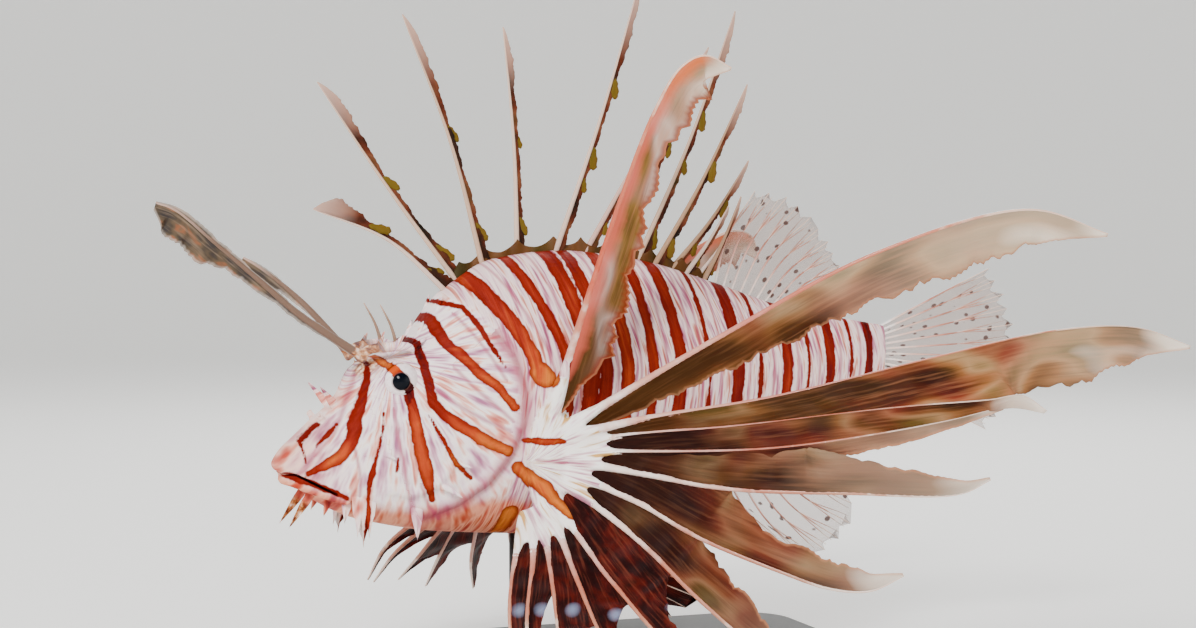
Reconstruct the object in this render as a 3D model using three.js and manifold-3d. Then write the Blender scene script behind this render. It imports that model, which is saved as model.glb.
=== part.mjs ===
// A red lionfish, about 30 cm long, hovering with its fins spread, as a still life-size model on a
// plain display stand. Millimetres, +Z up. The head points along -X and the left side faces -Y.
// The origin is the centre of the stand's underside. The fish is laid out in a group of its own,
// level with the middle of its flank, and that group is raised over the stand by swimHeight.
import * as THREE from "three";
import { mergeVertices } from "three/addons/utils/BufferGeometryUtils.js";
import Module from "manifold-3d";

const wasm = await Module();
wasm.setup();

// Stand and seams
const swimHeight = 130; // from the floor up to the fish's own zero level
const seam = 0.3; // gap between neighbouring pieces
const baseLength = 190;
const baseWidth = 116;
const baseThickness = 8;
const baseCorner = 20;
const rodRadius = 3.5;
const rodX = -30;

// Body outline: [x, value] pairs along the fish, joined by smooth lines
const snoutX = -118.4;
const tailRootX = 115;
const backLine = [
  [snoutX, -49], [-116, -45.4], [-111, -40.6], [-104, -34.2], [-98, -29.2], [-94.5, -24.5],
  [-91, -17.5], [-85, -14.2], [-76, -11.4], [-70.5, -7.6], [-65, 1.2], [-56, 11], [-40, 20],
  [-15, 23], [15, 19.6], [45, 11.2], [70, 3], [92, -1.6], [tailRootX, -5.4],
];
const bellyLine = [
  [snoutX, -51.4], [-116, -53.4], [-112.4, -56.2], [-108, -60], [-103.8, -63.2], [-96.7, -67],
  [-89.5, -69.8], [-60, -75.4], [-15, -78], [20, -73.6], [50, -62.4], [80, -46.8],
  [101, -33.6], [tailRootX, -25.4],
];
const halfWidthLine = [
  [snoutX, 3.4], [-116, 7.2], [-111, 10.6], [-104, 13.6], [-92, 17.6], [-70, 22.4], [-40, 27],
  [-15, 28], [20, 24.2], [55, 16.6], [85, 9.6], [103, 5.6], [tailRootX, 2.6],
];
const widestShareLine = [[snoutX, 0.5], [-90, 0.4], [-60, 0.45], [0, 0.5], [tailRootX, 0.5]];
const upperFullnessLine = [
  [snoutX, 2], [-96, 2.2], [-86, 2.8], [-72, 2.5], [-50, 2], [0, 1.8], [70, 1.75], [tailRootX, 2],
];
const lowerFullnessLine = [[snoutX, 2], [-90, 2.3], [0, 2.1], [tailRootX, 2]];

// Gill cover, eye and mouth
const gillCover = { x: -81.5, z: -34, radius: 46.5, raised: 0.6 };
const tailCutX = 84;
const eye = { x: -77, y: 13.4, z: -21.6, radius: 6.8 };
const mouth = { frontX: -114, frontZ: -53.2, cornerX: -95, cornerZ: -60.6, gape: 0.9 };

const vec = (x, y, z) => new THREE.Vector3(x, y, z);
const radians = THREE.MathUtils.degToRad;
const lerp = THREE.MathUtils.lerp;

// The value at x of a smooth line through [x, value] pairs, which never swings past them.
function along(pairs, x) {
  const last = pairs.length - 1;
  if (x <= pairs[0][0]) return pairs[0][1];
  if (x >= pairs[last][0]) return pairs[last][1];
  const rise = (k) => (pairs[k + 1][1] - pairs[k][1]) / (pairs[k + 1][0] - pairs[k][0]);
  const slope = (k) => {
    if (k === 0) return rise(0);
    if (k === last) return rise(last - 1);
    const before = rise(k - 1);
    const after = rise(k);
    return before * after <= 0 ? 0 : (2 * before * after) / (before + after);
  };
  const i = pairs.findIndex((pair) => pair[0] > x) - 1;
  const span = pairs[i + 1][0] - pairs[i][0];
  const t = (x - pairs[i][0]) / span;
  const rest = 1 - t;
  return (
    pairs[i][1] * (1 + 2 * t) * rest * rest +
    pairs[i + 1][1] * t * t * (3 - 2 * t) +
    span * t * rest * (slope(i) * rest - slope(i + 1) * t)
  );
}

// A closed surface as a solid, turned right side out.
function solidOf(points, triangles) {
  const vertProperties = new Float32Array(points.flatMap((p) => p.toArray()));
  const build = (list) =>
    new wasm.Manifold(
      new wasm.Mesh({ numProp: 3, vertProperties, triVerts: new Uint32Array(list.flat()) }),
    );
  const made = build(triangles);
  return made.volume() > 0 ? made : build(triangles.map(([a, b, c]) => [a, c, b]));
}

function solidFromGeometry(geometry) {
  const bare = geometry.clone();
  bare.deleteAttribute("normal");
  bare.deleteAttribute("uv");
  const merged = mergeVertices(bare, 1e-4);
  return new wasm.Manifold(
    new wasm.Mesh({
      numProp: 3,
      vertProperties: merged.attributes.position.array,
      triVerts: new Uint32Array(merged.index.array),
    }),
  );
}

// Rings of equal length joined into a closed surface, each end closed by a fan from its middle.
// Columns from mirrorFrom on take the other diagonal, so both faces of a thin piece match.
function loft(rings, mirrorFrom = Infinity) {
  const count = rings[0].length;
  const points = rings.flat();
  const triangles = [];
  for (let i = 0; i < rings.length - 1; i++) {
    for (let j = 0; j < count; j++) {
      const a = i * count + j;
      const b = i * count + ((j + 1) % count);
      const [c, d] = [a + count, b + count];
      if (j < mirrorFrom) triangles.push([a, b, d], [a, d, c]);
      else triangles.push([a, b, c], [b, d, c]);
    }
  }
  const middle = (ring) =>
    ring.reduce((sum, p) => sum.add(p), vec(0, 0, 0)).divideScalar(ring.length);
  const start = points.push(middle(rings[0])) - 1;
  const end = points.push(middle(rings.at(-1))) - 1;
  const lastRing = (rings.length - 1) * count;
  for (let j = 0; j < count; j++) {
    const k = (j + 1) % count;
    triangles.push([start, k, j], [end, lastRing + j, lastRing + k]);
  }
  return solidOf(points, triangles);
}

const joined = (pieces) => wasm.Manifold.union(pieces);

// The largest closed body of a solid.
function largest(solid) {
  return solid.decompose().reduce((a, b) => (b.volume() > a.volume() ? b : a));
}

// The body

function bodyRing(x, grow, around) {
  const top = along(backLine, x) + grow;
  const bottom = along(bellyLine, x) - grow;
  const width = along(halfWidthLine, x) + grow;
  const level = lerp(bottom, top, along(widestShareLine, x));
  return Array.from({ length: around }, (_, j) => {
    const turn = (2 * Math.PI * j) / around;
    const upper = Math.cos(turn) > 0;
    const power = 2 / along(upper ? upperFullnessLine : lowerFullnessLine, x);
    const out = Math.sign(Math.sin(turn)) * Math.abs(Math.sin(turn)) ** power;
    const rise = Math.abs(Math.cos(turn)) ** power;
    return vec(x, -width * out, level + rise * ((upper ? top : bottom) - level));
  });
}

function bodyLength(from, to, step, around, grow = 0) {
  const steps = Math.round((to - from) / step);
  const rings = Array.from({ length: steps + 1 }, (_, i) =>
    bodyRing(lerp(from, to, i / steps), grow, around),
  );
  return loft(rings);
}

const headCore = (grow) => bodyLength(snoutX, -30, 4, 28, gillCover.raised + grow);

// A cylinder across the whole fish, whose edge is the rear margin of the gill covers.
function gillCylinder(radius) {
  const geometry = new THREE.CylinderGeometry(radius, radius, 120, 60);
  return solidFromGeometry(geometry).translate([gillCover.x, 0, gillCover.z]);
}

// What the fins are cut back by, to stand one seam off the flesh they grow from.
const clearOfHead = gillCylinder(gillCover.radius + seam);
const clearOfBody = joined([
  bodyLength(-64, tailCutX + 8, 7, 26, seam),
  headCore(seam).intersect(clearOfHead),
]);

// A round or flattened piece along a route. width and depth are half sizes for a share of the way.
function limb(route, sides, steps, width, depth, face) {
  const curve = new THREE.CatmullRomCurve3(route, false, "centripetal");
  const rings = Array.from({ length: steps + 1 }, (_, i) => {
    const s = i / steps;
    const at = curve.getPointAt(s);
    const ahead = curve.getTangentAt(s);
    const side = vec(0, 0, 0).crossVectors(face, ahead).normalize();
    const out = vec(0, 0, 0).crossVectors(ahead, side).normalize();
    return Array.from({ length: sides }, (_, j) => {
      const turn = (2 * Math.PI * (j + 0.5)) / sides;
      return at
        .clone()
        .addScaledVector(side, Math.cos(turn) * width(s))
        .addScaledVector(out, Math.sin(turn) * depth(s));
    });
  });
  return loft(rings);
}

// A fin ray with a vane on one side of it: a stout leading edge that thins to the vane's rim.
// face is the way the vane's flat side looks; side is 1 or -1, the side of the ray the vane is on.
// With join, the rim runs along the next ray's curve up to the share join.own of this ray, where
// it has reached the share join.its of that one, and from there draws in to the vane's own width.
function vane({ route, face, side, steps, ray, width, scallop = 0, edge = 0.3, join }) {
  const curve = new THREE.CatmullRomCurve3(route, false, "centripetal");
  const rings = Array.from({ length: steps + 1 }, (_, i) => {
    const s = i / steps;
    const at = curve.getPointAt(s);
    const ahead = curve.getTangentAt(s);
    const half = ray(s);
    const wide = Math.max(width(s) * (1 + (i % 2 ? scallop : -scallop)), 1.4 * half);
    const outward = vec(0, 0, 0).crossVectors(ahead, face).normalize().multiplyScalar(side);
    const rim = at.clone().addScaledVector(outward, wide);
    if (join) {
      const stay = join.curve.getPointAt(join.its * Math.min(1, s / join.own));
      rim.lerp(stay, 1 - THREE.MathUtils.smoothstep(s, join.own, join.own + 0.18));
    }
    const out = rim.clone().sub(at).cross(ahead).normalize();
    const across = vec(0, 0, 0).crossVectors(ahead, out);
    const place = (a, o) => at.clone().addScaledVector(across, a).addScaledVector(out, o);
    const rimHalf = Math.min(edge, half);
    return [
      place(-half, 0),
      place(0.5 * half, half),
      rim.clone().addScaledVector(out, rimHalf),
      rim.clone().addScaledVector(out, -rimHalf),
      place(0.5 * half, -half),
    ];
  });
  return loft(rings, 3);
}

// A fin of rays joined by a membrane. Each ray is a route; the membrane reaches webShare of the
// way between two rays. Rays stand as ridges on both faces, as both are split alike.
function webbedFin({ rays, face, steps, rayHalf, webHalf, webShare }) {
  const curves = rays.map((route) => new THREE.CatmullRomCurve3(route, false, "centripetal"));
  const columns = [];
  const rows = Array.from({ length: steps + 1 }, (_, i) => i / steps);
  curves.forEach((curve, k) => {
    columns.push(rows.map((s) => ({ at: curve.getPointAt(s), half: rayHalf(s, k) })));
    const next = curves[k + 1];
    if (!next) return;
    columns.push(
      rows.map((s) => {
        const reach = s * webShare(k);
        const at = curve.getPointAt(reach).lerp(next.getPointAt(reach), 0.5);
        return { at, half: webHalf };
      }),
    );
  });
  const perColumn = steps + 1;
  const points = [1, -1].flatMap((sign) =>
    columns.flatMap((column) =>
      column.map(({ at, half }) => at.clone().addScaledVector(face, sign * half)),
    ),
  );
  const back = columns.length * perColumn;
  const triangles = [];
  for (let c = 0; c < columns.length - 1; c++) {
    for (let r = 0; r < steps; r++) {
      const a = c * perColumn + r;
      const [b, d, e] = [a + perColumn, a + 1, a + perColumn + 1];
      triangles.push([a, b, e], [a, e, d]);
      triangles.push([back + a, back + e, back + b], [back + a, back + d, back + e]);
    }
  }
  const rim = [];
  for (let r = 0; r < steps; r++) rim.push(r);
  for (let c = 0; c < columns.length - 1; c++) rim.push(c * perColumn + steps);
  for (let r = steps; r > 0; r--) rim.push((columns.length - 1) * perColumn + r);
  for (let c = columns.length - 1; c > 0; c--) rim.push(c * perColumn);
  rim.forEach((a, i) => {
    const b = rim[(i + 1) % rim.length];
    triangles.push([a, b, back + b], [a, back + b, back + a]);
  });
  return solidOf(points, triangles);
}

// The head

const sides = [
  { name: "left", sign: -1 },
  { name: "right", sign: 1 },
];
const up = vec(0, 0, 1);

const eyeBall = (sign, radius) =>
  solidFromGeometry(
    new THREE.SphereGeometry(radius, 16, 10).rotateX(Math.PI / 2),
  ).translate([eye.x, sign * eye.y, eye.z]);

const taper = (from, to) => (s) => lerp(from, to, s);

function browRidge(sign) {
  const route = [
    vec(-91, sign * 8.6, -15), vec(-88, sign * 9.6, -11.2), vec(-81, sign * 12, -10),
    vec(-74, sign * 13.4, -10), vec(-69.5, sign * 13, -12.5),
  ];
  return limb(route, 7, 7, () => 2.4, () => 2.2, up);
}

function eyeRim(sign) {
  const rim = new THREE.TorusGeometry(eye.radius + 0.7, 1.1, 5, 18).rotateX(Math.PI / 2);
  return solidFromGeometry(rim).translate([eye.x, sign * (eye.y + 2.6), eye.z]);
}

function headSpine(root, tip, width, thick = 0.7) {
  const face = vec(0, 0, 1).cross(vec(0, 0, 0).subVectors(tip, root)).normalize();
  return limb([root, tip], 4, 1, taper(width, 0.25), taper(width * thick, 0.25), face);
}

// Cheek, crown and nape spines, as [x, y, z] of the root and of the tip on the left side
const bonySpines = [
  [[-84, 11.5, -10], [-82, 11.8, -5.8], 1.5],
  [[-78, 13, -9.6], [-75.2, 13.6, -5.6], 1.5],
  [[-72, 13.2, -10.4], [-67.6, 13.6, -7], 1.5],
  [[-69, 7, -8], [-67, 7.6, -1.4], 1.8],
  [[-62, 7.4, 1], [-60.6, 8.2, 7.4], 1.8],
  [[-77, 10.6, -10], [-83.4, 11.8, 4.6], 1.1],
  [[-93, 15, -45], [-90, 18.6, -46.5], 1.4],
  [[-84, 18.6, -46], [-80.6, 22.4, -47.6], 1.4],
  [[-60, 22, -50], [-54.6, 26.2, -51], 1.7],
  [[-63, 21.6, -58], [-58.4, 25.6, -61], 1.6],
];
// Soft tabs of skin on the chin, jaw and cheek, in the same terms
const skinTabs = [
  [[-112, 5.4, -58], [-115.6, 7.6, -70.4], 2.2],
  [[-104, 7, -62], [-106.5, 8.4, -67.6], 1.5],
  [[-90, 15, -61], [-91.4, 19.4, -77.4], 3],
  [[-93.6, 14, -62], [-96, 17, -71], 1.8],
  [[-85.8, 15, -62], [-86.2, 18.6, -73], 1.8],
  [[-72, 17, -65], [-72.8, 20.4, -75.6], 1.8],
  [[-97, 5.6, -31], [-104, 9, -22.8], 1.6],
];

function pairedHorns(rows, sign, thick) {
  return rows.map(([root, tip, width]) =>
    headSpine(
      vec(root[0], sign * root[1], root[2]),
      vec(tip[0], sign * tip[1], tip[2]),
      width,
      thick,
    ),
  );
}

// A lip runs from one corner of the mouth round the front to the other.
function lip(lift, radius) {
  const { frontX, frontZ, cornerX, cornerZ } = mouth;
  const stations = [
    [cornerX, 15.6, cornerZ], [-101.5, 13, -58.2], [-107.5, 10, -55.8], [-112, 5.6, -53.9],
    [frontX - 0.6, 0, frontZ],
  ];
  const leftHalf = stations.map(([x, y, z]) => vec(x, -y, z + lift));
  const rightHalf = stations.slice(0, -1).reverse().map(([x, y, z]) => vec(x, y, z + lift));
  return limb([...leftHalf, ...rightHalf], 6, 14, () => radius * 1.1, () => radius, up);
}

function mouthSlit() {
  const { frontX, frontZ, cornerX, cornerZ, gape } = mouth;
  const run = cornerX - frontX;
  const slant = Math.atan2(frontZ - cornerZ, run);
  const length = run / Math.cos(slant) + 8;
  const slit = new THREE.BoxGeometry(length, 60, gape)
    .translate(-length / 2, 0, 0)
    .rotateY(slant)
    .translate(cornerX, 0, cornerZ);
  return solidFromGeometry(slit);
}

function nostril(sign) {
  const pit = new THREE.CylinderGeometry(0.9, 0.9, 8, 10).rotateX(radians(60) * sign);
  return solidFromGeometry(pit).translate([-103, sign * 7, -36]);
}

// Supraorbital tentacle: stub on the brow, then the tentacle itself, a leaf on a stalk
const tentacleRoutes = {
  left: [
    vec(-111.3, -13, 1.4), vec(-127.4, -18, 14.4), vec(-141.3, -22, 25.6),
    vec(-154.8, -26, 36.3), vec(-161, -27, 38.5),
  ],
  right: [vec(-105.8, 13, 5.7), vec(-118.3, 17, 16.5), vec(-124.5, 19, 20.5)],
};
const leafSize = { left: 1, right: 0.6 };
const stub = { x: -89.4, y: 9.2, z: -13, length: 5, radius: 1.9 };

function tentacleStart(side) {
  const root = vec(stub.x, side.sign * stub.y, stub.z);
  const lean = tentacleRoutes[side.name][0].clone().sub(root).normalize();
  return { root, lean };
}

function tentacleStub(side) {
  const { root, lean } = tentacleStart(side);
  const tip = root.clone().addScaledVector(lean, stub.length);
  return limb([root, tip], 7, 2, () => stub.radius, () => stub.radius, up);
}

function tentacle(side) {
  const { root, lean } = tentacleStart(side);
  const start = root.clone().addScaledVector(lean, stub.length + seam);
  const widths = [[0, 2], [0.35, 2.4], [0.6, 4.6], [0.8, 9], [0.93, 8], [1, 2.4]];
  const size = leafSize[side.name];
  return vane({
    route: [start, ...tentacleRoutes[side.name]],
    face: vec(-0.3, -0.95, 0).normalize(),
    side: -1,
    steps: 14,
    ray: taper(1.3, 0.5),
    width: (s) => size * along(widths, s),
    scallop: 0.1,
  });
}

function headSolid() {
  const core = headCore(0).intersect(gillCylinder(gillCover.radius));
  const growths = sides.flatMap((side) => [
    browRidge(side.sign),
    eyeRim(side.sign),
    tentacleStub(side),
    ...pairedHorns(bonySpines, side.sign, 0.7),
    ...pairedHorns(skinTabs, side.sign, 0.35),
  ]);
  const hollows = sides.flatMap(({ sign }) => [
    eyeBall(sign, eye.radius + seam),
    nostril(sign),
  ]);
  return joined([core, lip(1.5, 1.7), lip(-1.7, 1.7), ...growths]).subtract(
    joined([mouthSlit(), ...hollows]),
  );
}

// Spiny dorsal fin: [root x, lean back from upright in degrees, length, bow, leaf width] a spine
const dorsalSpines = [
  [-56, -59.6, 55, 4.6, 6.4],
  [-52, -34, 83, -1, 4.8],
  [-43, -20.5, 91, 2.6, 3.8],
  [-30.5, -1, 82, 1.4, 3.2],
  [-17, 15.7, 101, 1.2, 3.2],
  [-6.5, 35, 94, -1.2, 3.2],
  [4, 23.4, 69, 1, 3],
  [14, 25.7, 104, 2, 3.4],
  [20.5, 26.2, 73, 1.6, 3],
  [26.5, 40.4, 53, 1.6, 2.6],
  [32.4, 33, 29, 0.8, 2.2],
  [36.4, 41, 18, 0.4, 1.8],
  [40, 23.4, 33, 0.8, 1.7],
];
const spineSplay = 8; // degrees that the spines lean to either side by turns
const spineRadius = 1.25;
const dorsalWebHeight = 5.5;

function dorsalSpine([rootX, lean, length, bow, leaf], k) {
  const tilt = radians(lean);
  const splay = radians(spineSplay) * (k % 2 ? 1 : -1) * Math.min(1, length / 40);
  const root = vec(rootX, 0, along(backLine, rootX) - 3);
  const rise = vec(Math.sin(tilt), Math.sin(splay), Math.cos(tilt)).normalize();
  const behind = vec(Math.cos(tilt), 0, -Math.sin(tilt));
  const tip = root.clone().addScaledVector(rise, length + 3);
  const bend = root.clone().lerp(tip, 0.5).addScaledVector(behind, bow);
  const narrow = Math.min(2.4, 0.8 * leaf);
  const widths = [[0, 0.9 * leaf], [0.2, narrow], [0.55, 0.85 * narrow], [0.84, leaf], [1, 0.8]];
  return vane({
    route: [root, bend, tip],
    face: vec(0, -1, 0),
    side: 1,
    steps: length > 40 ? 8 : 4,
    ray: taper(spineRadius, 0.4),
    width: (s) => along(widths, s),
    scallop: 0.1,
  });
}

function dorsalWeb() {
  const steps = 20;
  const [from, to] = [dorsalSpines[0][0] - 1, dorsalSpines.at(-1)[0] + 1.5];
  const rings = Array.from({ length: steps + 1 }, (_, i) => {
    const x = lerp(from, to, i / steps);
    const back = along(backLine, x);
    const height = dorsalWebHeight * (i % 2 ? 0.8 : 1) * (i === 0 || i === steps ? 0.4 : 1);
    const [low, high] = [back - 2, back + height];
    return [vec(x, -0.9, low), vec(x, -0.35, high), vec(x, 0.35, high), vec(x, 0.9, low)];
  });
  return loft(rings, 2);
}

const spinyDorsalFin = () =>
  joined([dorsalWeb(), ...dorsalSpines.map(dorsalSpine)]).subtract(clearOfBody);

// Median fins. Each ray stands on the back, belly or tail root, at an angle from straight behind.
function fanFin({ count, rootAt, angle, length, curl, steps, rayRadius, webShare, ripple = 0 }) {
  const rays = Array.from({ length: count }, (_, k) => {
    const share = k / (count - 1);
    const root = rootAt(share);
    const turn = radians(angle(share));
    const bent = radians(angle(share) + curl * Math.sign(angle(0)));
    const reach = length(share);
    const sway = ripple * (k % 2 ? 1 : -1);
    const half = reach / 2;
    const middle = vec(root.x + half * Math.cos(bent), 0, root.z + half * Math.sin(bent));
    const tip = vec(root.x + reach * Math.cos(turn), sway, root.z + reach * Math.sin(turn));
    return [root, middle, tip];
  });
  return webbedFin({
    rays,
    face: vec(0, -1, 0),
    steps,
    rayHalf: taper(rayRadius, 0.35),
    webHalf: 0.3,
    webShare: () => webShare,
  });
}

const rootSunk = 3;

const softDorsalFin = () =>
  fanFin({
    count: 11,
    rootAt: (share) => {
      const x = lerp(45, 77, share);
      return vec(x, 0, along(backLine, x) - rootSunk);
    },
    angle: (share) => lerp(66, 26, share),
    length: (share) => along([[0, 37], [0.2, 40], [0.7, 31], [1, 20]], share) + rootSunk,
    curl: 8,
    steps: 5,
    rayRadius: 0.85,
    webShare: 0.88,
    ripple: 0.8,
  }).subtract(clearOfBody);

const analFin = () =>
  fanFin({
    count: 10,
    rootAt: (share) => {
      const x = lerp(43, 76, share);
      return vec(x, 0, along(bellyLine, x) + rootSunk);
    },
    angle: (share) => lerp(-62, -26, share),
    length: (share) =>
      along([[0, 14], [0.12, 20], [0.23, 26], [0.35, 42], [0.55, 45], [1, 26]], share) + rootSunk,
    curl: 8,
    steps: 5,
    rayRadius: 0.85,
    webShare: 0.9,
    ripple: 0.8,
  }).subtract(clearOfBody);

const tailFin = () =>
  fanFin({
    count: 12,
    rootAt: (share) => vec(tailRootX + seam, 0, lerp(-6.4, -24.4, share)),
    angle: (share) => lerp(25, -25, share),
    length: (share) => 50 + 7 * Math.sin(Math.PI * share),
    curl: 0,
    steps: 6,
    rayRadius: 1.3,
    webShare: 0.95,
    ripple: 1.2,
  });

// Pectoral fins. A fleshy root carries thirteen long rays, each with a membrane on one side that
// joins it to the next ray for part of its length and then narrows to a free vane. The fin is
// parted at two levels of its root into three pieces: the topmost ray, the fan behind it and the
// lower rays. Rays go from the top down. Points are on the left fin; y is outward from the midline.
const pectoralRoot = { x: -27, y: 27, z: -51, halfX: 8.5, halfY: 6.5, halfZ: 21 };
const rootLevels = { top: -36, lower: -60.4 };
const pectoralRays = [
  {
    route: [[-27, 29, -32], [-19.6, 34, -4], [-8.8, 43, 36.5], [1.5, 52, 70], [9.5, 56, 84.6],
      [17.1, 58, 88.4], [26, 60, 84.4]],
    widths: [[0, 3], [0.2, 13], [0.45, 11], [0.65, 8.8], [0.84, 13.5], [0.93, 11], [1, 1]],
    side: 1, fold: 42,
  },
  {
    route: [[-25, 29, -39.5], [21, 62, -6], [66.4, 90, 22.7], [112.2, 108, 36.5], [138.3, 114, 28.6]],
    widths: [[0, 4], [0.15, 8], [0.3, 11], [0.5, 14], [0.72, 15.5], [0.88, 11], [1, 1]],
    side: 1, fold: 16,
  },
  {
    route: [[-23.5, 29, -41.6], [-6.2, 56, -33.6], [29.3, 88, -24.6], [75.6, 112, -11.3],
      [113, 123, -2.8], [140, 128, -2], [158.9, 131, -8.1]],
    widths: [[0, 4], [0.6, 15], [0.8, 17.5], [0.9, 12], [1, 1]],
    side: 1, fold: 8, join: [3, 0.66, 0.93],
  },
  {
    route: [[-23, 29, -43.6], [-4.6, 54, -38.5], [18.2, 80, -34.6], [62.3, 111, -27.2],
      [90, 121, -24.7], [100, 124, -23.4], [108, 126, -28.4]],
    widths: [[0, 4], [0.86, 5], [0.94, 4], [1, 1]],
    side: 1, fold: 6, join: [4, 0.84, 0.97],
  },
  {
    route: [[-22.6, 29, -45.8], [-4.6, 54, -44.6], [26.3, 90, -41.2], [51.6, 108, -36.4],
      [77, 117, -31.4], [94.7, 121, -27.1]],
    widths: [[0, 3], [0.3, 6], [0.7, 5], [1, 1]],
    side: 1, fold: 4,
  },
  {
    route: [[-22.8, 29, -48.8], [-6.2, 57, -51.2], [14.3, 84, -54.3], [46.6, 107, -54.6],
      [79.8, 120, -54.7], [88.7, 124, -50.1]],
    widths: [[0, 4], [0.6, 13], [0.75, 10], [0.9, 6], [1, 1]],
    side: -1, fold: 6, join: [4, 0.6, 0.58],
  },
  {
    route: [[-23, 29, -52.2], [-6.9, 60, -61], [5.8, 81, -70.4], [25.5, 101, -79.6],
      [38, 111, -84.2], [48.8, 118, -84.5], [57.6, 124, -79.3]],
    widths: [[0, 4], [0.5, 14], [0.65, 10], [0.8, 9], [0.92, 6], [1, 1]],
    side: -1, fold: 8, join: [5, 0.45, 0.45],
  },
  {
    route: [[-23.6, 29, -55.4], [-9.3, 66, -72.8], [2.4, 92, -89.8], [14.3, 110, -102.5],
      [24.4, 121, -108]],
    widths: [[0, 4], [0.55, 13], [0.8, 9.5], [1, 1]],
    side: -1, fold: 10, join: [6, 0.5, 0.466],
  },
  {
    route: [[-25.6, 28.6, -63.2], [-22.2, 62, -80.6], [-17.7, 78, -90.6], [-11.9, 94, -101.1],
      [-4, 109, -112]],
    widths: [[0, 3], [0.6, 8], [0.8, 6], [1, 1]],
    side: -1, fold: 12, join: [7, 0.58, 0.52],
  },
  {
    route: [[-28, 28.4, -65], [-30.6, 62, -83.1], [-29.5, 80, -97.5], [-27, 98, -112.5]],
    widths: [[0, 3], [0.6, 7], [0.8, 5], [1, 1]],
    side: -1, fold: 13, join: [8, 0.62, 0.6],
  },
  {
    route: [[-31, 28, -66.4], [-36.9, 56, -82.7], [-40, 72, -98.4], [-42.3, 84, -110]],
    widths: [[0, 3], [0.6, 6], [0.8, 5], [1, 1]],
    side: -1, fold: 14, join: [9, 0.74, 0.72],
  },
  {
    route: [[-33.6, 27.4, -67], [-41.2, 50, -80.7], [-48.5, 66, -98.9], [-50, 77, -113]],
    widths: [[0, 3], [0.6, 5], [0.8, 4], [1, 1]],
    side: -1, fold: 19, join: [10, 0.6, 0.58],
  },
  {
    route: [[-35.8, 27, -67.6], [-46.8, 47, -82.4], [-52.4, 60, -98.7], [-51.5, 68, -113]],
    widths: [[0, 3], [0.6, 4], [0.8, 4], [1, 1]],
    side: -1, fold: 24, join: [11, 0.6, 0.58],
  },
];
const upperRays = 8; // how many of them stand above the lower level
const rayHalf = [[0, 2], [0.15, 1.6], [0.4, 1.2], [0.8, 0.8], [1, 0.4]];

// The ray's route on its own side of the fish. The right fin is held folded back about its root.
function rayRoute({ route, fold }, sign) {
  const turn = sign > 0 ? radians(fold) : 0;
  const [rootX, , rootZ] = route[0];
  return route.map(([x, y, z]) => {
    const [dx, dz] = [x - rootX, z - rootZ];
    return vec(
      rootX + dx * Math.cos(turn) + dz * Math.sin(turn),
      sign * y,
      rootZ - dx * Math.sin(turn) + dz * Math.cos(turn),
    );
  });
}

// The fleshy root between two levels, half a seam short of each, or grown on all sides.
function rootSlice(sign, from, to, grow = 0) {
  const { x, y, z, halfX, halfY, halfZ } = pectoralRoot;
  const lobe = new THREE.SphereGeometry(1, 14, 10).scale(halfX + grow, halfY + grow, halfZ + grow);
  const slab = new THREE.BoxGeometry(40, 40, to - from - seam + 2 * grow);
  return solidFromGeometry(lobe)
    .translate([x, sign * y, z])
    .intersect(solidFromGeometry(slab).translate([x, sign * y, (from + to) / 2]));
}

function pectoralVane(ray, sign, curves) {
  const { widths, side, join } = ray;
  const upper = pectoralRays.indexOf(ray) < upperRays;
  return vane({
    route: rayRoute(ray, sign),
    face: vec(-0.3, sign * 0.95, 0).normalize(),
    side: side * -sign,
    steps: upper ? 12 : 8,
    ray: (s) => along(rayHalf, s),
    width: (s) => along(widths, s),
    scallop: 0.04,
    join: join && { curve: curves[join[0]], own: join[1], its: join[2] },
  });
}

function pectoralPieces({ sign }) {
  const { top, lower } = rootLevels;
  const curves = pectoralRays.map(
    (ray) => new THREE.CatmullRomCurve3(rayRoute(ray, sign), false, "centripetal"),
  );
  const vanes = pectoralRays.map((ray) => pectoralVane(ray, sign, curves));
  const lastUpper = upperRays - 1;
  const room = (s) => along(rayHalf, s) + seam + 0.2;
  const clearOfLastUpper = limb(
    rayRoute(pectoralRays[lastUpper], sign), 8, 8, room, room, vec(-0.3, sign * 0.95, 0),
  );
  return {
    top: joined([rootSlice(sign, top, top + 20), vanes[0]]).subtract(clearOfBody),
    fan: joined([rootSlice(sign, lower, top), ...vanes.slice(1, upperRays)]).subtract(clearOfBody),
    lower: joined([rootSlice(sign, lower - 20, lower), ...vanes.slice(upperRays)])
      .subtract(clearOfLastUpper)
      .subtract(rootSlice(sign, lower, top, seam))
      .subtract(clearOfBody),
  };
}

// Pelvic fins: a spine and five rays each, held down and back, spread a little outward
function pelvicFin({ sign }) {
  const count = 6;
  const rays = Array.from({ length: count }, (_, k) => {
    const share = k / (count - 1);
    const root = vec(lerp(-17, -5, share), sign * lerp(9, 7, share), -74);
    const tip = vec(lerp(8, 42, share), sign * lerp(38, 20, share), lerp(-107, -96, share));
    const short = k === 0 ? 0.62 : 1;
    tip.lerpVectors(root, tip, short);
    const middle = root.clone().lerp(tip, 0.5).add(vec(-2, sign * 2, -3));
    return [root, middle, tip];
  });
  const fin = webbedFin({
    rays,
    face: vec(0.2, sign * 0.9, -0.4).normalize(),
    steps: 6,
    rayHalf: (s, k) => (k === 0 ? lerp(1.2, 0.4, s) : lerp(1, 0.4, s)),
    webHalf: 0.35,
    webShare: () => 0.9,
  });
  return fin.subtract(clearOfBody);
}

// The stand

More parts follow.
